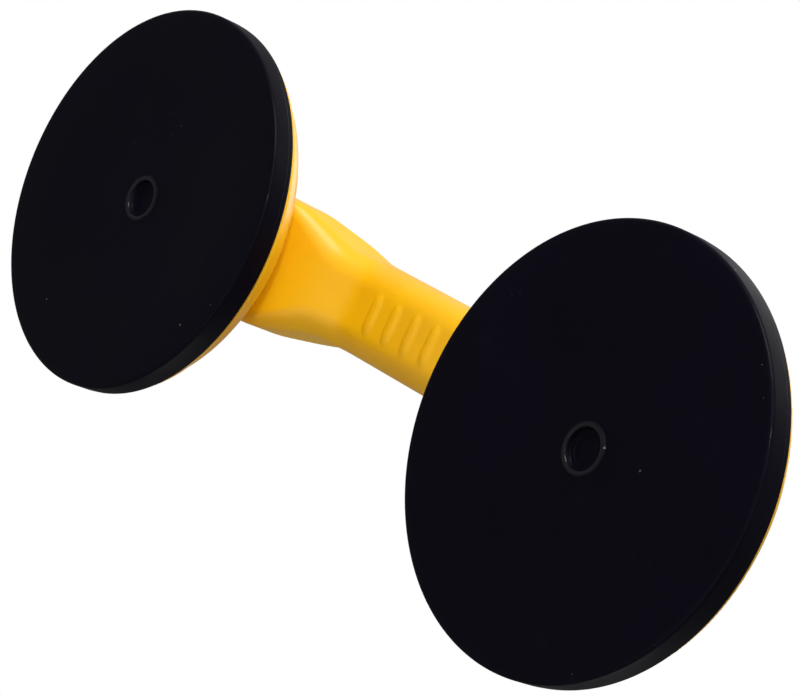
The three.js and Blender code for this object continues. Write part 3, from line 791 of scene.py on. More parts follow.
def turn_for(piece, side):
    """Turns a piece made for the left cup half a turn about Z for the right one."""
    if side == "right":
        piece.data.transform(Matrix.Rotation(math.pi, 4, "Z"))
    return piece


# ---- handle -------------------------------------------------------------------------


class Bridge:
    """The rounded rectangle that is carried from cup to cup as neck, grip and neck."""

    def __init__(self, sizes, cup_sizes, cup_x):
        self.s = sizes
        self.cup = cup_sizes
        self.end = cup_x + sizes.cheek_overhang

    def underside(self, u):
        low = self.cup.top_z - self.cup.plate / 2
        return ramp(u, self.s.foot_x, self.s.bend_x, low, self.s.grip_bottom,
                    UNDERSIDE_SOFTNESS)

    def topside(self, u):
        s = self.s
        end = ramp(u, self.end, self.end - s.cheek_run, s.cheek_end, s.cheek_top,
                   CHEEK_SOFTNESS)
        height = s.grip_top - s.cheek_top
        return end + ramp(u, s.rise_start, s.rise_end, 0, height, RISE_SOFTNESS)

    def half_width(self, u):
        s = self.s
        return ramp(u, s.narrow_start, s.narrow_end, s.neck_half, s.grip_half,
                    NARROWING_SOFTNESS)

    def corner(self, u):
        s = self.s
        start, end = s.foot_x - 5 * MM, s.bend_x + 8 * MM
        return ramp(u, start, end, s.neck_corner, s.grip_corner, CORNER_SOFTNESS)

    def sections(self, x, inset, arc=10):
        """Rings of a rounded rectangle at each x: corner centres plus radius times (cos, sin)."""
        u = np.abs(x)
        w = self.half_width(u) - inset
        z0, z1 = self.underside(u) + inset, self.topside(u) - inset
        r = np.minimum(np.minimum(self.corner(u) - inset, w * 0.95), (z1 - z0) * 0.48)
        quarter = np.repeat(np.arange(4), arc + 1)
        angle = (quarter + np.tile(np.linspace(0, 1, arc + 1), 4)) * math.pi / 2
        y_side = np.array([1, -1, -1, 1])[quarter]
        z_side = np.array([1, 1, 0, 0])[quarter]
        w, z0, z1, r = (v[:, None] for v in (w, z0, z1, r))
        y = y_side * (w - r) + r * np.cos(angle)
        z = np.where(z_side, z1 - r, z0 + r) + r * np.sin(angle)
        return np.stack([x[:, None] + 0 * y, y, z], -1)

    def solid(self, name, reach, inset, steps):
        return loft(name, self.sections(np.linspace(-reach, reach, steps + 1), inset))

    def channel(self, side):
        """The lever's channel from the side: open above, its floor parallel to the neck."""
        s = self.s
        far, high = self.end + CUT_MARGIN, s.grip_top + CUT_MARGIN
        start = s.foot_x + 5 * MM
        u = np.linspace(start, s.channel_end + 3 * MM, 24)
        floor = np.stack([-u, self.underside(u) + s.channel_floor], -1)
        wall_foot = [-s.channel_end, self.underside(s.channel_end) + s.channel_floor + 3 * MM]
        outline = np.vstack([
            [[-far, 0.5 * self.cup.top_z], [-start, 0.5 * self.cup.top_z]],
            floor,
            [wall_foot, [-s.channel_end, high], [-far, high]],
        ])
        piece = prism("channel", outline, -s.channel_half, s.channel_half)
        plan = np.array([(-far, 1), (-s.channel_taper, 1), (-s.channel_end, s.channel_tip / s.channel_half)])
        plan = np.vstack([plan, plan[::-1] * [1, -1]]) * [1, s.channel_half]
        combine(piece, [prism("plan", plan, 0, high + CUT_MARGIN, "XY")], "INTERSECT")
        return turn_for(piece, side)


def cup_housing(sizes, side):
    """One housing: its wall, lip, top plate, boss and bore turned as one closed profile."""
    s = sizes
    ceiling, boss_top = s.top_z - s.plate, s.top_z + s.boss_height
    lip_top = s.foot_z + s.lip_height
    corners = [
        (s.bore_radius, ceiling, 0.2),
        (s.seat_radius - 5 * MM, ceiling, 1.5),
        (s.seat_radius - 1.2 * MM, s.foot_z + 2 * MM, 1.0),
        (s.seat_radius, s.foot_z, 0.3),
        (s.foot_radius, s.foot_z, 0.4),
        (s.foot_radius, lip_top, 0.5),
        (s.foot_radius - s.lip_step, lip_top + 0.3 * MM, 0.5),
        (s.top_radius + 5.2 * MM, lip_top + 5.2 * MM, 14.0),
        (s.top_radius, s.top_z, 1.8),
        (s.top_radius - 5.5 * MM, s.top_z, 0.4),
        (s.top_radius - 6.1 * MM, s.top_z - 0.7 * MM, 0.4),
        (s.boss_radius + 6 * MM, s.top_z - 0.7 * MM, 4.0),
        (s.boss_radius + 0.4 * MM, s.top_z - 0.2 * MM, 0.8),
        (s.boss_radius, boss_top, 0.7),
        (s.bore_radius, boss_top, 0.5),
    ]
    outline = rounded_corners(corners, 8)
    return revolve("housing", outline, HOUSING_STEPS, cup_centre(side))


def housing_ribs(sizes, handle, side):
    """Low stiffening ribs that fan out evenly over the top plate, clear of the cheeks."""
    x, y, z = cup_centre(side)
    clear_y, clear_x = handle.neck_half + 2 * MM, handle.cheek_overhang + 3 * MM
    outer = sizes.top_radius - 5.8 * MM
    outward = 0 if side == "right" else math.pi
    ribs = []
    for step in range(-6, 7):
        angle = step * math.pi / 8
        starts = [clear_y / max(abs(math.sin(angle)), 1e-6), clear_x / max(math.cos(angle), 1e-6)]
        inner = max(sizes.boss_radius + 9 * MM, min(starts))
        half = ((outer - inner) / 2 + 1.2 * MM, 0.8 * MM, 1.3 * MM)
        if half[0] < 2.5 * MM:
            continue
        rib = pillow("rib", ((inner + outer) / 2, 0, sizes.top_z - 0.6 * MM), half, 5.0, 12)
        turn = Matrix.Rotation(outward + angle, 4, "Z")
        rib.data.transform(Matrix.Translation((x, y, z)) @ turn)
        ribs.append(rib)
    return ribs


def screw_post(sizes, x):
    """A hollow post inside the grip that takes a cover screw."""
    s = sizes
    outer = s.screw_hole + 2.4 * MM
    low, high = s.grip_bottom + s.wall / 2, s.cover_split
    outline = [(s.screw_hole, low + 2 * MM), (outer, low), (outer, high), (s.screw_hole, high)]
    return revolve("post", outline, POST_STEPS, (x, 0, 0))


class LIFTER_OT_handle_body(bpy.types.Operator):
    """Moulds both cup housings, the necks and the lower half of the grip as one piece."""

    bl_idname = "lifter.handle_body"
    bl_label = "Handle body"

    def execute(self, context):
        s, cup = context.scene.lifter_handle, context.scene.lifter_cup
        bridge = Bridge(s, cup, abs(cup_centre("left")[0]))
        body = bridge.solid("handle_moulding", bridge.end, 0, 320)
        wide, high = s.neck_half + CUT_MARGIN, s.grip_top + CUT_MARGIN
        half = s.cover_half + s.joint
        cuts = [bridge.channel(side) for side in SIDES]
        cuts.append(bridge.solid("trough", s.trough_half, s.wall, 60))
        cuts.append(block("lid", (-half, -wide, s.cover_split), (half, wide, high)))
        combine(body, cuts, "DIFFERENCE")
        extras = [screw_post(s, x) for x in (-s.screw_x, s.screw_x)]
        for side in SIDES:
            extras.append(cup_housing(cup, side))
            extras.extend(housing_ribs(cup, s, side))
        for i in range(s.rib_count):
            x = (i - (s.rib_count - 1) / 2) * s.rib_pitch
            half_rib = (s.rib_width / 2, s.rib_length / 2, s.rib_height + 0.4 * MM)
            extras.append(pillow("rib", (x, 0, s.grip_bottom + 0.4 * MM), half_rib, 3.0, 16))
        gather(body, extras)

        def junction(points):
            """1 near the line where neck and housing top meet, falling to 0 over 3 mm."""
            inward = np.abs(np.abs(points[:, 1]) - s.neck_half)
            near = np.hypot(inward, points[:, 2] - cup.top_z)
            under = np.abs(points[:, 2] - cup.top_z) + np.abs(np.abs(points[:, 0]) - s.foot_x + 2 * MM)
            close = np.minimum(near, under * 0.6)
            outside = np.abs(points[:, 1]) > s.channel_half + 1.5 * MM
            return np.clip(1.4 - close / (2.6 * MM), 0, 1) * (outside | (under * 0.6 < near))

        wrap(body, HANDLE_VOXEL, 9, [(junction, 26)])
        finish_piece(body, HANDLE, ["handle_body"], finish("plastic", context))
        return {"FINISHED"}


class LIFTER_OT_grip_cover(bpy.types.Operator):
    """Moulds the upper half of the grip with its screw wells."""

    bl_idname = "lifter.grip_cover"
    bl_label = "Grip cover"

    def execute(self, context):
        s, cup = context.scene.lifter_handle, context.scene.lifter_cup
        bridge = Bridge(s, cup, abs(cup_centre("left")[0]))
        cover = bridge.solid("grip_lid", s.cover_half, 0, 160)
        wide = s.neck_half + CUT_MARGIN
        low = s.cover_split + s.joint
        below = block("below", (-1, -wide, 0), (1, wide, low))
        trough = bridge.solid("trough", s.trough_half, s.wall, 60)
        combine(cover, [below, trough], "DIFFERENCE")
        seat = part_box("cover_screw_left")[1].z - SCREW_HEAD - TOUCH_GAP
        posts = []
        for x in (-s.screw_x, s.screw_x):
            outline = [(0, low), (s.screw_well + 1.2 * MM, low),
                       (s.screw_well + 1.2 * MM, s.grip_top - s.wall / 2), (0, s.grip_top - s.wall / 2)]
            posts.append(revolve("post", outline, POST_STEPS, (x, 0, 0)))
        combine(cover, posts, "UNION")
        wells = []
        for x in (-s.screw_x, s.screw_x):
            top = s.grip_top + 2 * MM
            outline = [(0, low - 2 * MM), (s.screw_hole, low - 2 * MM), (s.screw_hole, seat),
                       (s.screw_well, seat), (s.screw_well, top), (0, top)]
            wells.append(revolve("well", outline, BORE_STEPS, (x, 0, 0)))
        combine(cover, wells, "DIFFERENCE")
        wrap(cover, COVER_VOXEL, 8)
        finish_piece(cover, HANDLE, ["grip_cover"], finish("plastic", context))
        return {"FINISHED"}


class LIFTER_OT_cover_screws(bpy.types.Operator):
    """Turns the two cover screws and cuts their cross recesses."""

    bl_idname = "lifter.cover_screws"
    bl_label = "Cover screws"

    def execute(self, context):
        for side in SIDES:
            node = f"cover_screw_{side}"
            centre, size, low, high = span(node)
            head, shank = size[0] / 2, 1.6 * MM
            shoulder = high[2] - SCREW_HEAD
            corners = [
                (0, low[2], 0), (shank * 0.4, low[2], 0.2), (shank, low[2] + 2 * MM, 0.5),
                (shank, shoulder, 0.2), (head, shoulder, 0.25), (head, shoulder + 1.1 * MM, 0.8),
                (head * 0.72, high[2] - 0.3 * MM, 1.2), (head * 0.3, high[2], 1.0), (0, high[2], 0),
            ]
            outline = rounded_corners(corners, 5, closed=False)
            screw = revolve(f"pan_screw_{side}", outline, BORE_STEPS, (centre[0], centre[1], 0))
            for turned in (0, 1):
                arm, half = head * 0.58, 0.45 * MM
                wide, slim = (arm, half) if turned else (half, arm)
                deep = high[2] - 1.3 * MM
                ring = np.array([(-1, -1), (1, -1), (1, 1), (-1, 1)], float)
                taper = [(0.45, deep), (1.0, high[2] + 0.5 * MM)]
                rings = np.stack([
                    np.column_stack([centre[0] + ring[:, 0] * wide * (k if turned else 1),
                                     centre[1] + ring[:, 1] * slim * (1 if turned else k),
                                     np.full(4, z)])
                    for k, z in taper
                ])
                combine(screw, [loft("recess", rings)], "DIFFERENCE")
            mark_turning(screw, (centre[0], centre[1], 0))
            finish_piece(screw, HANDLE, [node], finish("zinc", context))
            shade_by_angle(screw)
        return {"FINISHED"}


def shade_by_angle(piece, degrees=35):
    """Keeps the edges that bend more than the angle sharp in a smooth piece."""
    work = bmesh.new()
    work.from_mesh(piece.data)
    limit = math.radians(degrees)
    for edge in work.edges:
        edge.smooth = len(edge.link_faces) < 2 or edge.calc_face_angle(0) < limit
    work.to_mesh(piece.data)
    work.free()
    return piece


# ---- pads, discs, studs, washers, pins and rings ------------------------------------


def pad_profile(s):
    """The pad's section from the eyelet out along the face, up the edge and back inside."""
    dish, eye = s.dish, s.eyelet_radius
    floor = dish + s.eyelet_depth
    web_top = dish + s.pad_web
    eyelet = [
        (0, floor, 0), (eye * 0.6, floor, 0.3), (eye * 0.66, floor - 0.25 * MM, 0.2),
        (eye * 0.78, floor - 0.3 * MM, 0.3), (eye * 0.87, dish - 0.5 * MM, 0.6),
        (eye * 1.02, dish - 0.5 * MM, 0.6), (eye * 1.1, dish, 0.3), (eye * 1.3, dish, 0),
    ]
    start = rounded_corners(eyelet, 6, closed=False)
    r = np.linspace(eye * 1.4, s.seal_radius + 5.5 * MM, 60)
    face = np.stack([r, ramp(r, s.dish_inner, s.seal_radius, dish, 0, DISH_SOFTNESS)], -1)
    edge, rim = s.pad_radius, s.pad_rim
    corners = [
        (s.seal_radius + 6 * MM, 0, 0), (edge, 0, s.pad_edge_round / MM),
        (edge, rim * 0.72, 0.2), (edge - 0.1 * MM, rim * 0.74, 0.2), (edge - 0.1 * MM, rim, 0.9),
        (s.seat_radius + 2.5 * MM, rim, 0.5),
    ]
    side = rounded_corners(corners, 8, closed=False)
    r = np.linspace(s.seat_radius + 2.2 * MM, 8 * MM, 40)
    inner_face = ramp(r, s.dish_inner, s.seat_radius, web_top, rim, DISH_SOFTNESS)
    inside = np.stack([r, inner_face], -1)
    pocket = [(6.8 * MM, web_top), (6.8 * MM, web_top - 2.1 * MM), (0, web_top - 2.1 * MM)]
    return np.vstack([start, face, side, inside, pocket])


class LIFTER_OT_rubber_pads(bpy.types.Operator):
    """Moulds the two rubber pads and lets their middles follow the studs."""

    bl_idname = "lifter.rubber_pads"
    bl_label = "Rubber pads"

    def execute(self, context):
        s = context.scene.lifter_cup
        for side in SIDES:
            centre = cup_centre(side)
            pad = revolve(f"suction_pad_{side}", pad_profile(s), PAD_STEPS, centre)
            mark_turning(pad, centre)
            self.mark_lip_highlights(pad, s, centre)
            node, stud = f"rubber_pad_{side}", f"stud_{side}"
            material = finish("rubber", context)
            finish_piece(pad, HANDLE, [node], material, blend_to=stud)
            rim = centre + np.array([s.seal_radius, 0, 0])
            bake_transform(pad, HANDLE, stud, start=tuple(rim), end=tuple(centre))
            points, _ = mesh_arrays(pad.data)
            r = np.linalg.norm(points[:, :2] - centre[:2], axis=1)
            share = ramp(r, s.dish_inner, s.seal_radius, 1, 0, DISH_SOFTNESS)
            follow = pad.data.attributes["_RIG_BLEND"]
            follow.data.foreach_set("value", share.astype(np.float32))
        return {"FINISHED"}

    def mark_lip_highlights(self, pad, s, centre):
        """1 on the eyelet's bead and on the rim's rounded edge, falling to 0 beside them; the rubber is
        painted lighter there as a highlight.
        """
        points, _ = mesh_arrays(pad.data)
        r = np.linalg.norm(points[:, :2] - centre[:2], axis=1)
        z = points[:, 2] - centre[2]
        bead = np.clip(1.3 - np.abs(r - s.eyelet_radius * 0.93) / (0.9 * MM), 0, 1)
        bead *= z < s.dish + s.eyelet_depth * 1.2
        corner = np.hypot(r - s.pad_radius, z)
        # The rim's edge gets a weaker share of the painted highlight.
        rim = np.clip(1.2 - corner / (1.3 * MM), 0, 1) * 0.12
        store(pad.data, "lip", np.maximum(bead, rim))


def bevelled_disc(name, node, hole, bevel, steps=128):
    """A flat ring with bevelled edges that fills a node's box."""
    centre, size, low, high = span(node)
    outer = size[0] / 2
    corners = [(hole, low[2]), (outer, low[2]), (outer, high[2]), (hole, high[2])]
    outline = rounded(corners, bevel, 5)
    disc = revolve(name, outline, steps, (centre[0], centre[1], 0))
    return mark_turning(disc, (centre[0], centre[1], 0))


class LIFTER_OT_discs_and_washers(bpy.types.Operator):
    """Stamps the core disc in each pad and the slip washer under each cam."""

    bl_idname = "lifter.discs_and_washers"
    bl_label = "Core discs and slip washers"

    def execute(self, context):
        bore = context.scene.lifter_cup.bore_radius
        zinc = finish("zinc", context)
        for side in SIDES:
            disc = bevelled_disc(f"steel_core_{side}", f"core_disc_{side}", DISC_HOLE, 0.5 * MM)
            finish_piece(disc, f"stud_{side}", [f"core_disc_{side}"], zinc)
            washer = bevelled_disc(f"cam_washer_{side}", f"slip_washer_{side}", bore, 0.35 * MM)
            finish_piece(washer, HANDLE, [f"slip_washer_{side}"], zinc)
        return {"FINISHED"}


class LIFTER_OT_studs(bpy.types.Operator):
    """Turns the pull studs with their rivet heads and drilled eyes."""

    bl_idname = "lifter.studs"
    bl_label = "Pull studs"

    def execute(self, context):
        for side in SIDES:
            centre, size, low, high = span(f"pull_stud_{side}")
            pin, pin_size, _, _ = span(f"pivot_pin_{side}")
            disc_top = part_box(f"core_disc_{side}")[1].z
            eye = high[2] - pin[2]
            corners = [
                (0, low[2], 0), (5.7 * MM, low[2], 0.5), (6.5 * MM, low[2] + 0.8 * MM, 0.4),
                (6.5 * MM, low[2] + 1.8 * MM, 0.2), (3.7 * MM, low[2] + 1.8 * MM, 0.2),
                (3.7 * MM, disc_top + TOUCH_GAP, 0.2), (size[0] / 2, disc_top + TOUCH_GAP, 0.3),
                (size[0] / 2, disc_top + 1.8 * MM, 0.3), (STUD_SHAFT, disc_top + 1.8 * MM, 0.6),
                (STUD_SHAFT, pin[2], 0), (0, pin[2], 0),
            ]
            outline = rounded_corners(corners, 5, closed=False)
            stud = revolve(f"eye_stud_{side}", outline, ROUND_STEPS, (centre[0], centre[1], 0))
            half = EYE_HALF
            hole = pin_size[0] / 2 + 0.3 * MM
            ring = rounded([(hole, -half), (eye, -half), (eye, half), (hole, half)], 0.5 * MM, 5)
            head = revolve("eye", ring, ROUND_STEPS, pin, "Y")
            cutter = [(0, -half * 2), (hole, -half * 2), (hole, half * 2), (0, half * 2)]
            drill = revolve("drill", cutter, BORE_STEPS, pin, "Y")
            combine(stud, [drill], "DIFFERENCE")
            gather(stud, [head])
            wrap(stud, STUD_VOXEL, 5)
            mark_turning(stud, (centre[0], centre[1], 0))
            finish_piece(stud, f"stud_{side}", [f"pull_stud_{side}"], finish("zinc", context))
        return {"FINISHED"}


class LIFTER_OT_pins_and_rings(bpy.types.Operator):
    """Turns the pivot pins with their grooves and bends the retaining rings."""

    bl_idname = "lifter.pins_and_rings"
    bl_label = "Pivot pins and rings"

    def execute(self, context):
        for side in SIDES:
            body = f"stud_{side}"
            centre, size, _, _ = span(f"pivot_pin_{side}")
            radius, end = size[0] / 2, size[1] / 2
            groove = radius - 0.6 * MM
            ring_c, ring_size, _, _ = span(f"pin_ring_rear_{side}")
            inner_y = abs(ring_c[1] - centre[1]) - ring_size[1] / 2 - 0.2 * MM
            outer_y = inner_y + ring_size[1] + 0.4 * MM
            half = [
                (radius, inner_y, 0.1), (groove, inner_y, 0.1), (groove, outer_y, 0.1),
                (radius, outer_y, 0.1), (radius, end, 0.7), (0, end, 0),
            ]
            corners = [(r, -y, f) for r, y, f in half[::-1]] + half
            outline = rounded_corners(corners, 4, closed=False)
            pin = revolve(f"hinge_pin_{side}", outline, ROUND_STEPS, centre, "Y")
            mark_turning(pin, centre, "Y")
            finish_piece(pin, body, [f"pivot_pin_{side}"], finish("zinc", context))
            for place in ("front", "rear"):
                node = f"pin_ring_{place}_{side}"
                ring = self.ring(f"snap_ring_{place}_{side}", node, groove + 0.3 * MM)
                finish_piece(ring, body, [node], finish("spring", context))
        return {"FINISHED"}

    def ring(self, name, node, inner):
        """A flat section carried round 280 degrees: wide at the ends, open below the pin."""
        centre, size, _, high = span(node)
        outer = size[0] / 2
        middle_z = high[2] - outer
        angle = np.radians(np.linspace(-50, 230, 97))
        share = np.abs(angle - math.pi / 2) / (math.radians(140))
        lobe = np.clip((share - 0.86) / 0.14, 0, 1)
        mid = np.clip(1 - np.abs(share) / 0.1, 0, 1)
        reach = outer - 0.9 * MM * (1 - np.maximum(lobe, mid)) * (1 - 0.2 * share)
        section = rounded([(0, -1), (1, -1), (1, 1), (0, 1)], 0.2, 3)
        r = inner + (reach - inner)[:, None] * section[:, 0]
        y = centre[1] + size[1] / 2 * section[:, 1] + 0 * r
        x = centre[0] + r * np.cos(angle)[:, None]
        z = middle_z + r * np.sin(angle)[:, None]
        piece = loft(name, np.stack([x, y, z], -1))
        return mark_turning(piece, (centre[0], centre[1], middle_z), "Y")


# ---- cam levers ---------------------------------------------------------------------


def cam_outline(s):
    """The lever from the side, about its pin.

    The cam is the curve whose tangent stays height(turn) = cam_height - slope * turn from the
    pin: each point is height * n + slope * t, with n the direction down and t along the washer.
    """
    slope = s.cam_lift / s.travel
    turn = np.linspace(0, s.travel, 48)
    height, a = s.cam_height - slope * turn, -math.pi / 2 - turn
    cam = np.stack([height * np.cos(a) - slope * np.sin(a), height * np.sin(a) + slope * np.cos(a)], -1)
    cos, sin = math.cos(s.rise), math.sin(s.rise)

    def along(reach, lift):
        return (reach * cos - lift * sin, reach * sin + lift * cos)

    low, high = s.offset, s.offset + s.thickness
    crown = s.cam_height - s.cam_lift
    rest = [
        (-crown * 0.9, crown * 0.4, 3.0), (-crown * 0.55, crown * 0.8, 3.0),
        (*along(3 * MM, high), 5.0),
        (*along(s.reach * 0.55, high - 0.5 * MM), 30.0), (*along(s.reach - 2 * MM, high + 1.2 * MM), 1.6),
        (*along(s.reach, high - 2 * MM), 1.4), (*along(s.reach - 1.6 * MM, low + 0.8 * MM), 1.2),
        (*along(s.reach * 0.6, low), 12.0), (*along(s.fork_depth + 5 * MM, low - 1.4 * MM), 5.0),
        (*along(s.fork_depth + 2 * MM, low - 5 * MM), 3.0), (7 * MM, -s.cam_height, 1.2),
    ]
    corners = np.array([r[:2] for r in rest])
    radii = [r[2] * MM for r in rest]
    closed = rounded(np.vstack([cam[-1:], corners, cam[:1]]), [0, *radii, 0], 8, closed=False)
    return np.vstack([cam[:-1], closed])


def lever_plan(s):
    """The lever from above: ears, a flare to the arm's full width and a rounded tip."""
    tip = s.reach - s.offset
    flare = s.fork_depth + 14.6 * MM
    half = [
        (-16 * MM, s.hub_half, 0), (s.fork_depth + 1 * MM, s.hub_half, 12),
        (flare - 4 * MM, s.half_width, 14), (tip - 8 * MM, s.half_width, 14),
        (tip - 1 * MM, s.half_width - 4.4 * MM, 5.5), (tip + 0.6 * MM, 0, 20),
    ]
    lower = [(x, -y, r) for x, y, r in half[-2::-1]]
    corners = half + lower
    return rounded_corners(corners, 10)


class LIFTER_OT_levers(bpy.types.Operator):
    """Moulds the two cam levers with their forks, finger dishes and grip bars."""

    bl_idname = "lifter.levers"
    bl_label = "Cam levers"

    def execute(self, context):
        s = context.scene.lifter_lever
        for side in SIDES:
            lever = prism(f"locking_lever_{side}", cam_outline(s), -s.half_width * 1.2, s.half_width * 1.2)
            plan = prism("plan", lever_plan(s), -2 * s.cam_height, s.reach, "XY")
            combine(lever, [plan], "INTERSECT")
            far = 2 * s.cam_height
            slot = rounded([(-far, -s.fork_half), (s.fork_depth, -s.fork_half),
                            (s.fork_depth, s.fork_half), (-far, s.fork_half)], [0, 2 * MM, 2 * MM, 0], 6)
            fork = prism("fork", slot, -far, far, "XY")
            cutter = [(0, -far), (s.pin_hole, -far), (s.pin_hole, far), (0, far)]
            hole = revolve("hole", cutter, BORE_STEPS, axis="Y")
            dish = self.tilted(s, pillow("dish", (0, 0, 0), (12.5 * MM, 8.6 * MM, 1.9 * MM), 2.6), 0.62, 0.4)
            under = self.tilted(s, pillow("under", (0, 0, 0), (9 * MM, 9.5 * MM, 1.5 * MM), 2.4), 0.78, None)
            combine(lever, [fork, hole, dish, under], "DIFFERENCE")
            bars = []
            for k in range(3):
                half = (0.75 * MM, 7.2 * MM, 0.8 * MM)
                bar = pillow("bar", (0, 0, 0), half, 3.0, 14)
                bars.append(self.tilted(s, bar, 0.87 + 0.045 * k, 0.75 - 0.12 * k))
            gather(lever, bars)
            wrap(lever, LEVER_VOXEL, 6)
            pin, _, _, _ = span(f"pivot_pin_{side}")
            turn_for(lever, side)
            lever.data.transform(Matrix.Translation(pin))
            finish_piece(lever, f"lever_{side}", [f"cam_lever_{side}"],
                         finish("lever", context))
        return {"FINISHED"}

    def tilted(self, s, piece, share, lift):
        """Moves a piece to a share of the reach on the arm's top, or its underside for None."""
        top = s.offset + s.thickness + (lift or 0) * MM
        height = top if lift is not None else s.offset - 0.4 * MM
        move = Matrix.Rotation(-s.rise, 4, "Y") @ Matrix.Translation((share * s.reach, 0, height))
        piece.data.transform(move)
        return piece


# ---- stage --------------------------------------------------------------------------


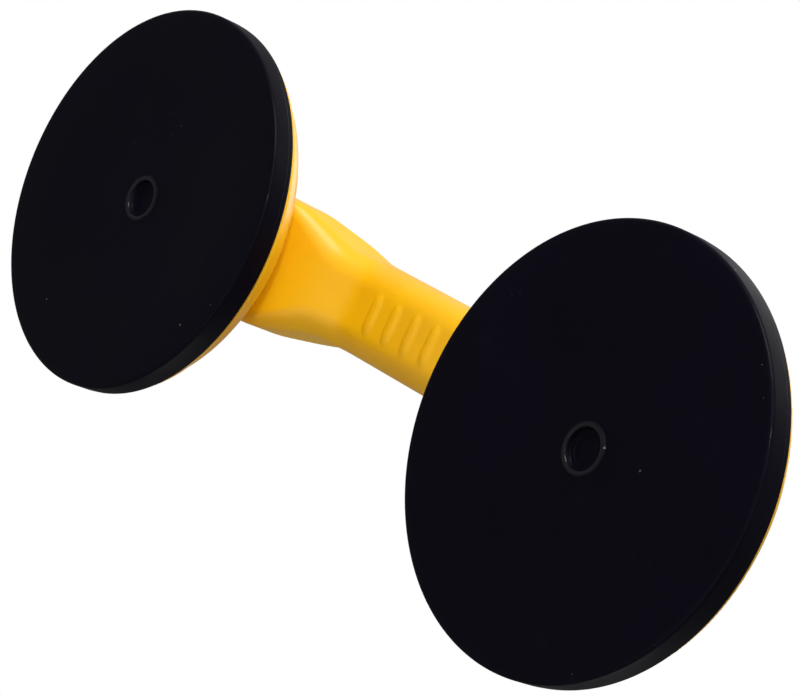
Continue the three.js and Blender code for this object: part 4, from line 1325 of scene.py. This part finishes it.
class LIFTER_OT_stage(bpy.types.Operator):
    """Sets up the camera, the lights, the pale floor and the backdrop."""

    bl_idname = "lifter.stage"
    bl_label = "Stage"

    def execute(self, context):
        stage = context.scene.lifter_stage
        back = self.camera(context, stage)
        self.world(context)
        self.floor(context, stage)
        self.lights(context, back)
        context.scene.view_settings.view_transform = "Standard"
        return {"FINISHED"}

    def camera(self, context, stage):
        data = bpy.data.cameras.new("camera")
        data.lens = stage.lens
        data.sensor_width = SENSOR_WIDTH
        data.shift_x, data.shift_y = CAMERA_SHIFT
        data.clip_start, data.clip_end = CAMERA_CLIP
        camera = bpy.data.objects.new("camera", data)
        context.scene.collection.objects.link(camera)
        a, e = stage.azimuth, stage.elevation
        back = Vector((math.sin(a) * math.cos(e), -math.cos(a) * math.cos(e), math.sin(e)))
        level = Vector((math.cos(a), math.sin(a), 0))
        upright = back.cross(level)
        right = level * math.cos(stage.roll) + upright * math.sin(stage.roll)
        up = back.cross(right)
        turn = Matrix((right, up, back)).transposed().to_4x4()
        aim = Vector((0, stage.aim_y, stage.aim_z))
        camera.matrix_world = Matrix.Translation(aim + back * stage.distance) @ turn
        context.scene.camera = camera
        return right, up, back

    def world(self, context):
        """Soft light that is brighter from one side, and plain white where it is seen."""
        world = bpy.data.worlds.new("studio")
        world.use_nodes = True
        tree = world.node_tree
        place = tree.nodes.new("ShaderNodeTexCoord")
        parts = tree.nodes.new("ShaderNodeSeparateXYZ")
        level = tree.nodes.new("ShaderNodeMapRange")
        level.inputs["From Min"].default_value = -1
        level.inputs["From Max"].default_value = 0.6
        level.inputs["To Min"].default_value = WORLD_BRIGHT
        level.inputs["To Max"].default_value = WORLD_DIM
        soft = tree.nodes["Background"]
        soft.inputs["Color"].default_value = WHITE
        seen = tree.nodes.new("ShaderNodeBackground")
        seen.inputs["Color"].default_value = WHITE
        path = tree.nodes.new("ShaderNodeLightPath")
        mix = tree.nodes.new("ShaderNodeMixShader")
        tree.links.new(place.outputs["Generated"], parts.inputs[0])
        tree.links.new(parts.outputs["Y"], level.inputs["Value"])
        tree.links.new(level.outputs[0], soft.inputs["Strength"])
        tree.links.new(path.outputs["Is Camera Ray"], mix.inputs[0])
        tree.links.new(soft.outputs[0], mix.inputs[1])
        tree.links.new(seen.outputs[0], mix.inputs[2])
        tree.links.new(mix.outputs[0], tree.nodes["World Output"].inputs["Surface"])
        context.scene.world = world

    def floor(self, context, stage):
        """A wide disc whose edge rises as a cove: z = drop + rise * (r / R)^6."""
        r = np.concatenate([[0], np.linspace(0.2, FLOOR_RADIUS, FLOOR_RINGS)])
        angle = np.arange(FLOOR_STEPS) / FLOOR_STEPS * FULL_TURN
        z = -stage.floor_drop + COVE_RISE * (r / FLOOR_RADIUS) ** 6
        rings = np.stack([
            r[1:, None] * np.cos(angle), r[1:, None] * np.sin(angle), z[1:, None] + 0 * angle
        ], -1).reshape(-1, 3)
        faces = grid_faces(FLOOR_RINGS, FLOOR_STEPS).tolist()
        centre = len(rings)
        faces += [[j, (j + 1) % FLOOR_STEPS, centre] for j in range(FLOOR_STEPS)]
        floor = new_piece("floor", np.vstack([rings, [[0, 0, z[0]]]]), faces)
        look = Finish("pale_floor")
        cloud = look.noise(1.5, 2.0)
        pale = tuple(context.scene.lifter_colours.floor)
        look.feed({
            "Base Color": look.blend(cloud, pale, tuple(c * 0.97 for c in pale)),
            "Roughness": 0.85,
        })
        floor.data.materials.append(look.material)

    def lights(self, context, axes):
        right, up, back = axes
        middle = Vector((0, 0, 0.03))
        above = Vector((0, 0, 1))
        # Each row: name, direction from the lifter, distance, size and power.
        rows = [
            ("key", up * 0.85 + back * 0.55 + right * 0.35, 1.3, 0.7, 13.0),
            ("fill", back * 0.8 - up * 0.25 - right * 0.7, 1.6, 1.2, 2.2),
            ("glint", Vector((0.56, -0.42, -0.72)), 0.85, 0.05, 1.5),
            ("edge", right * 1.0 + up * 0.35 - back * 0.1, 1.2, 0.35, 0.8),
            ("top", above + Vector((-0.25, -0.45, 0)), 1.5, 1.0, 7.0),
            ("rear", above * 0.5 + Vector((0.2, 0.9, 0)), 1.6, 0.9, 5.0),
        ]
        for name, direction, distance, size, power in rows:
            data = bpy.data.lights.new(name, "AREA")
            data.shape = "DISK"
            data.size = size
            data.energy = power
            light = bpy.data.objects.new(name, data)
            context.scene.collection.objects.link(light)
            way = direction.normalized()
            turn = way.to_track_quat("Z", "Y").to_matrix().to_4x4()
            light.matrix_world = Matrix.Translation(middle + way * distance) @ turn


# ---- panel and registration ---------------------------------------------------------


OPERATORS = (
    LIFTER_OT_stage,
    LIFTER_OT_handle_body,
    LIFTER_OT_grip_cover,
    LIFTER_OT_cover_screws,
    LIFTER_OT_rubber_pads,
    LIFTER_OT_discs_and_washers,
    LIFTER_OT_studs,
    LIFTER_OT_pins_and_rings,
    LIFTER_OT_levers,
)
GROUPS = {
    "lifter_cup": LifterCupSizes,
    "lifter_handle": LifterHandleSizes,
    "lifter_lever": LifterLeverSizes,
    "lifter_colours": LifterColours,
    "lifter_stage": LifterStage,
}


class LIFTER_PT_panel(bpy.types.Panel):
    """Lists the pieces of the lifter and its sizes."""

    bl_idname = "LIFTER_PT_panel"
    bl_label = "Vacuum lifter"
    bl_space_type = "VIEW_3D"
    bl_region_type = "UI"
    bl_category = "Lifter"

    def draw(self, context):
        for operator in OPERATORS:
            self.layout.operator(operator.bl_idname)
        for name in GROUPS:
            group = getattr(context.scene, name)
            box = self.layout.box()
            for key in group.__annotations__:
                box.prop(group, key)


def register():
    for group in GROUPS.values():
        bpy.utils.register_class(group)
    for name, group in GROUPS.items():
        setattr(bpy.types.Scene, name, PointerProperty(type=group))
    for operator in OPERATORS:
        bpy.utils.register_class(operator)
    bpy.utils.register_class(LIFTER_PT_panel)


def unregister():
    bpy.utils.unregister_class(LIFTER_PT_panel)
    for operator in reversed(OPERATORS):
        bpy.utils.unregister_class(operator)
    for name, group in GROUPS.items():
        delattr(bpy.types.Scene, name)
        bpy.utils.unregister_class(group)


def main():
    register()
    for operator in OPERATORS:
        group, name = operator.bl_idname.split(".")
        getattr(getattr(bpy.ops, group), name)()


if __name__ == "__main__":
    main()
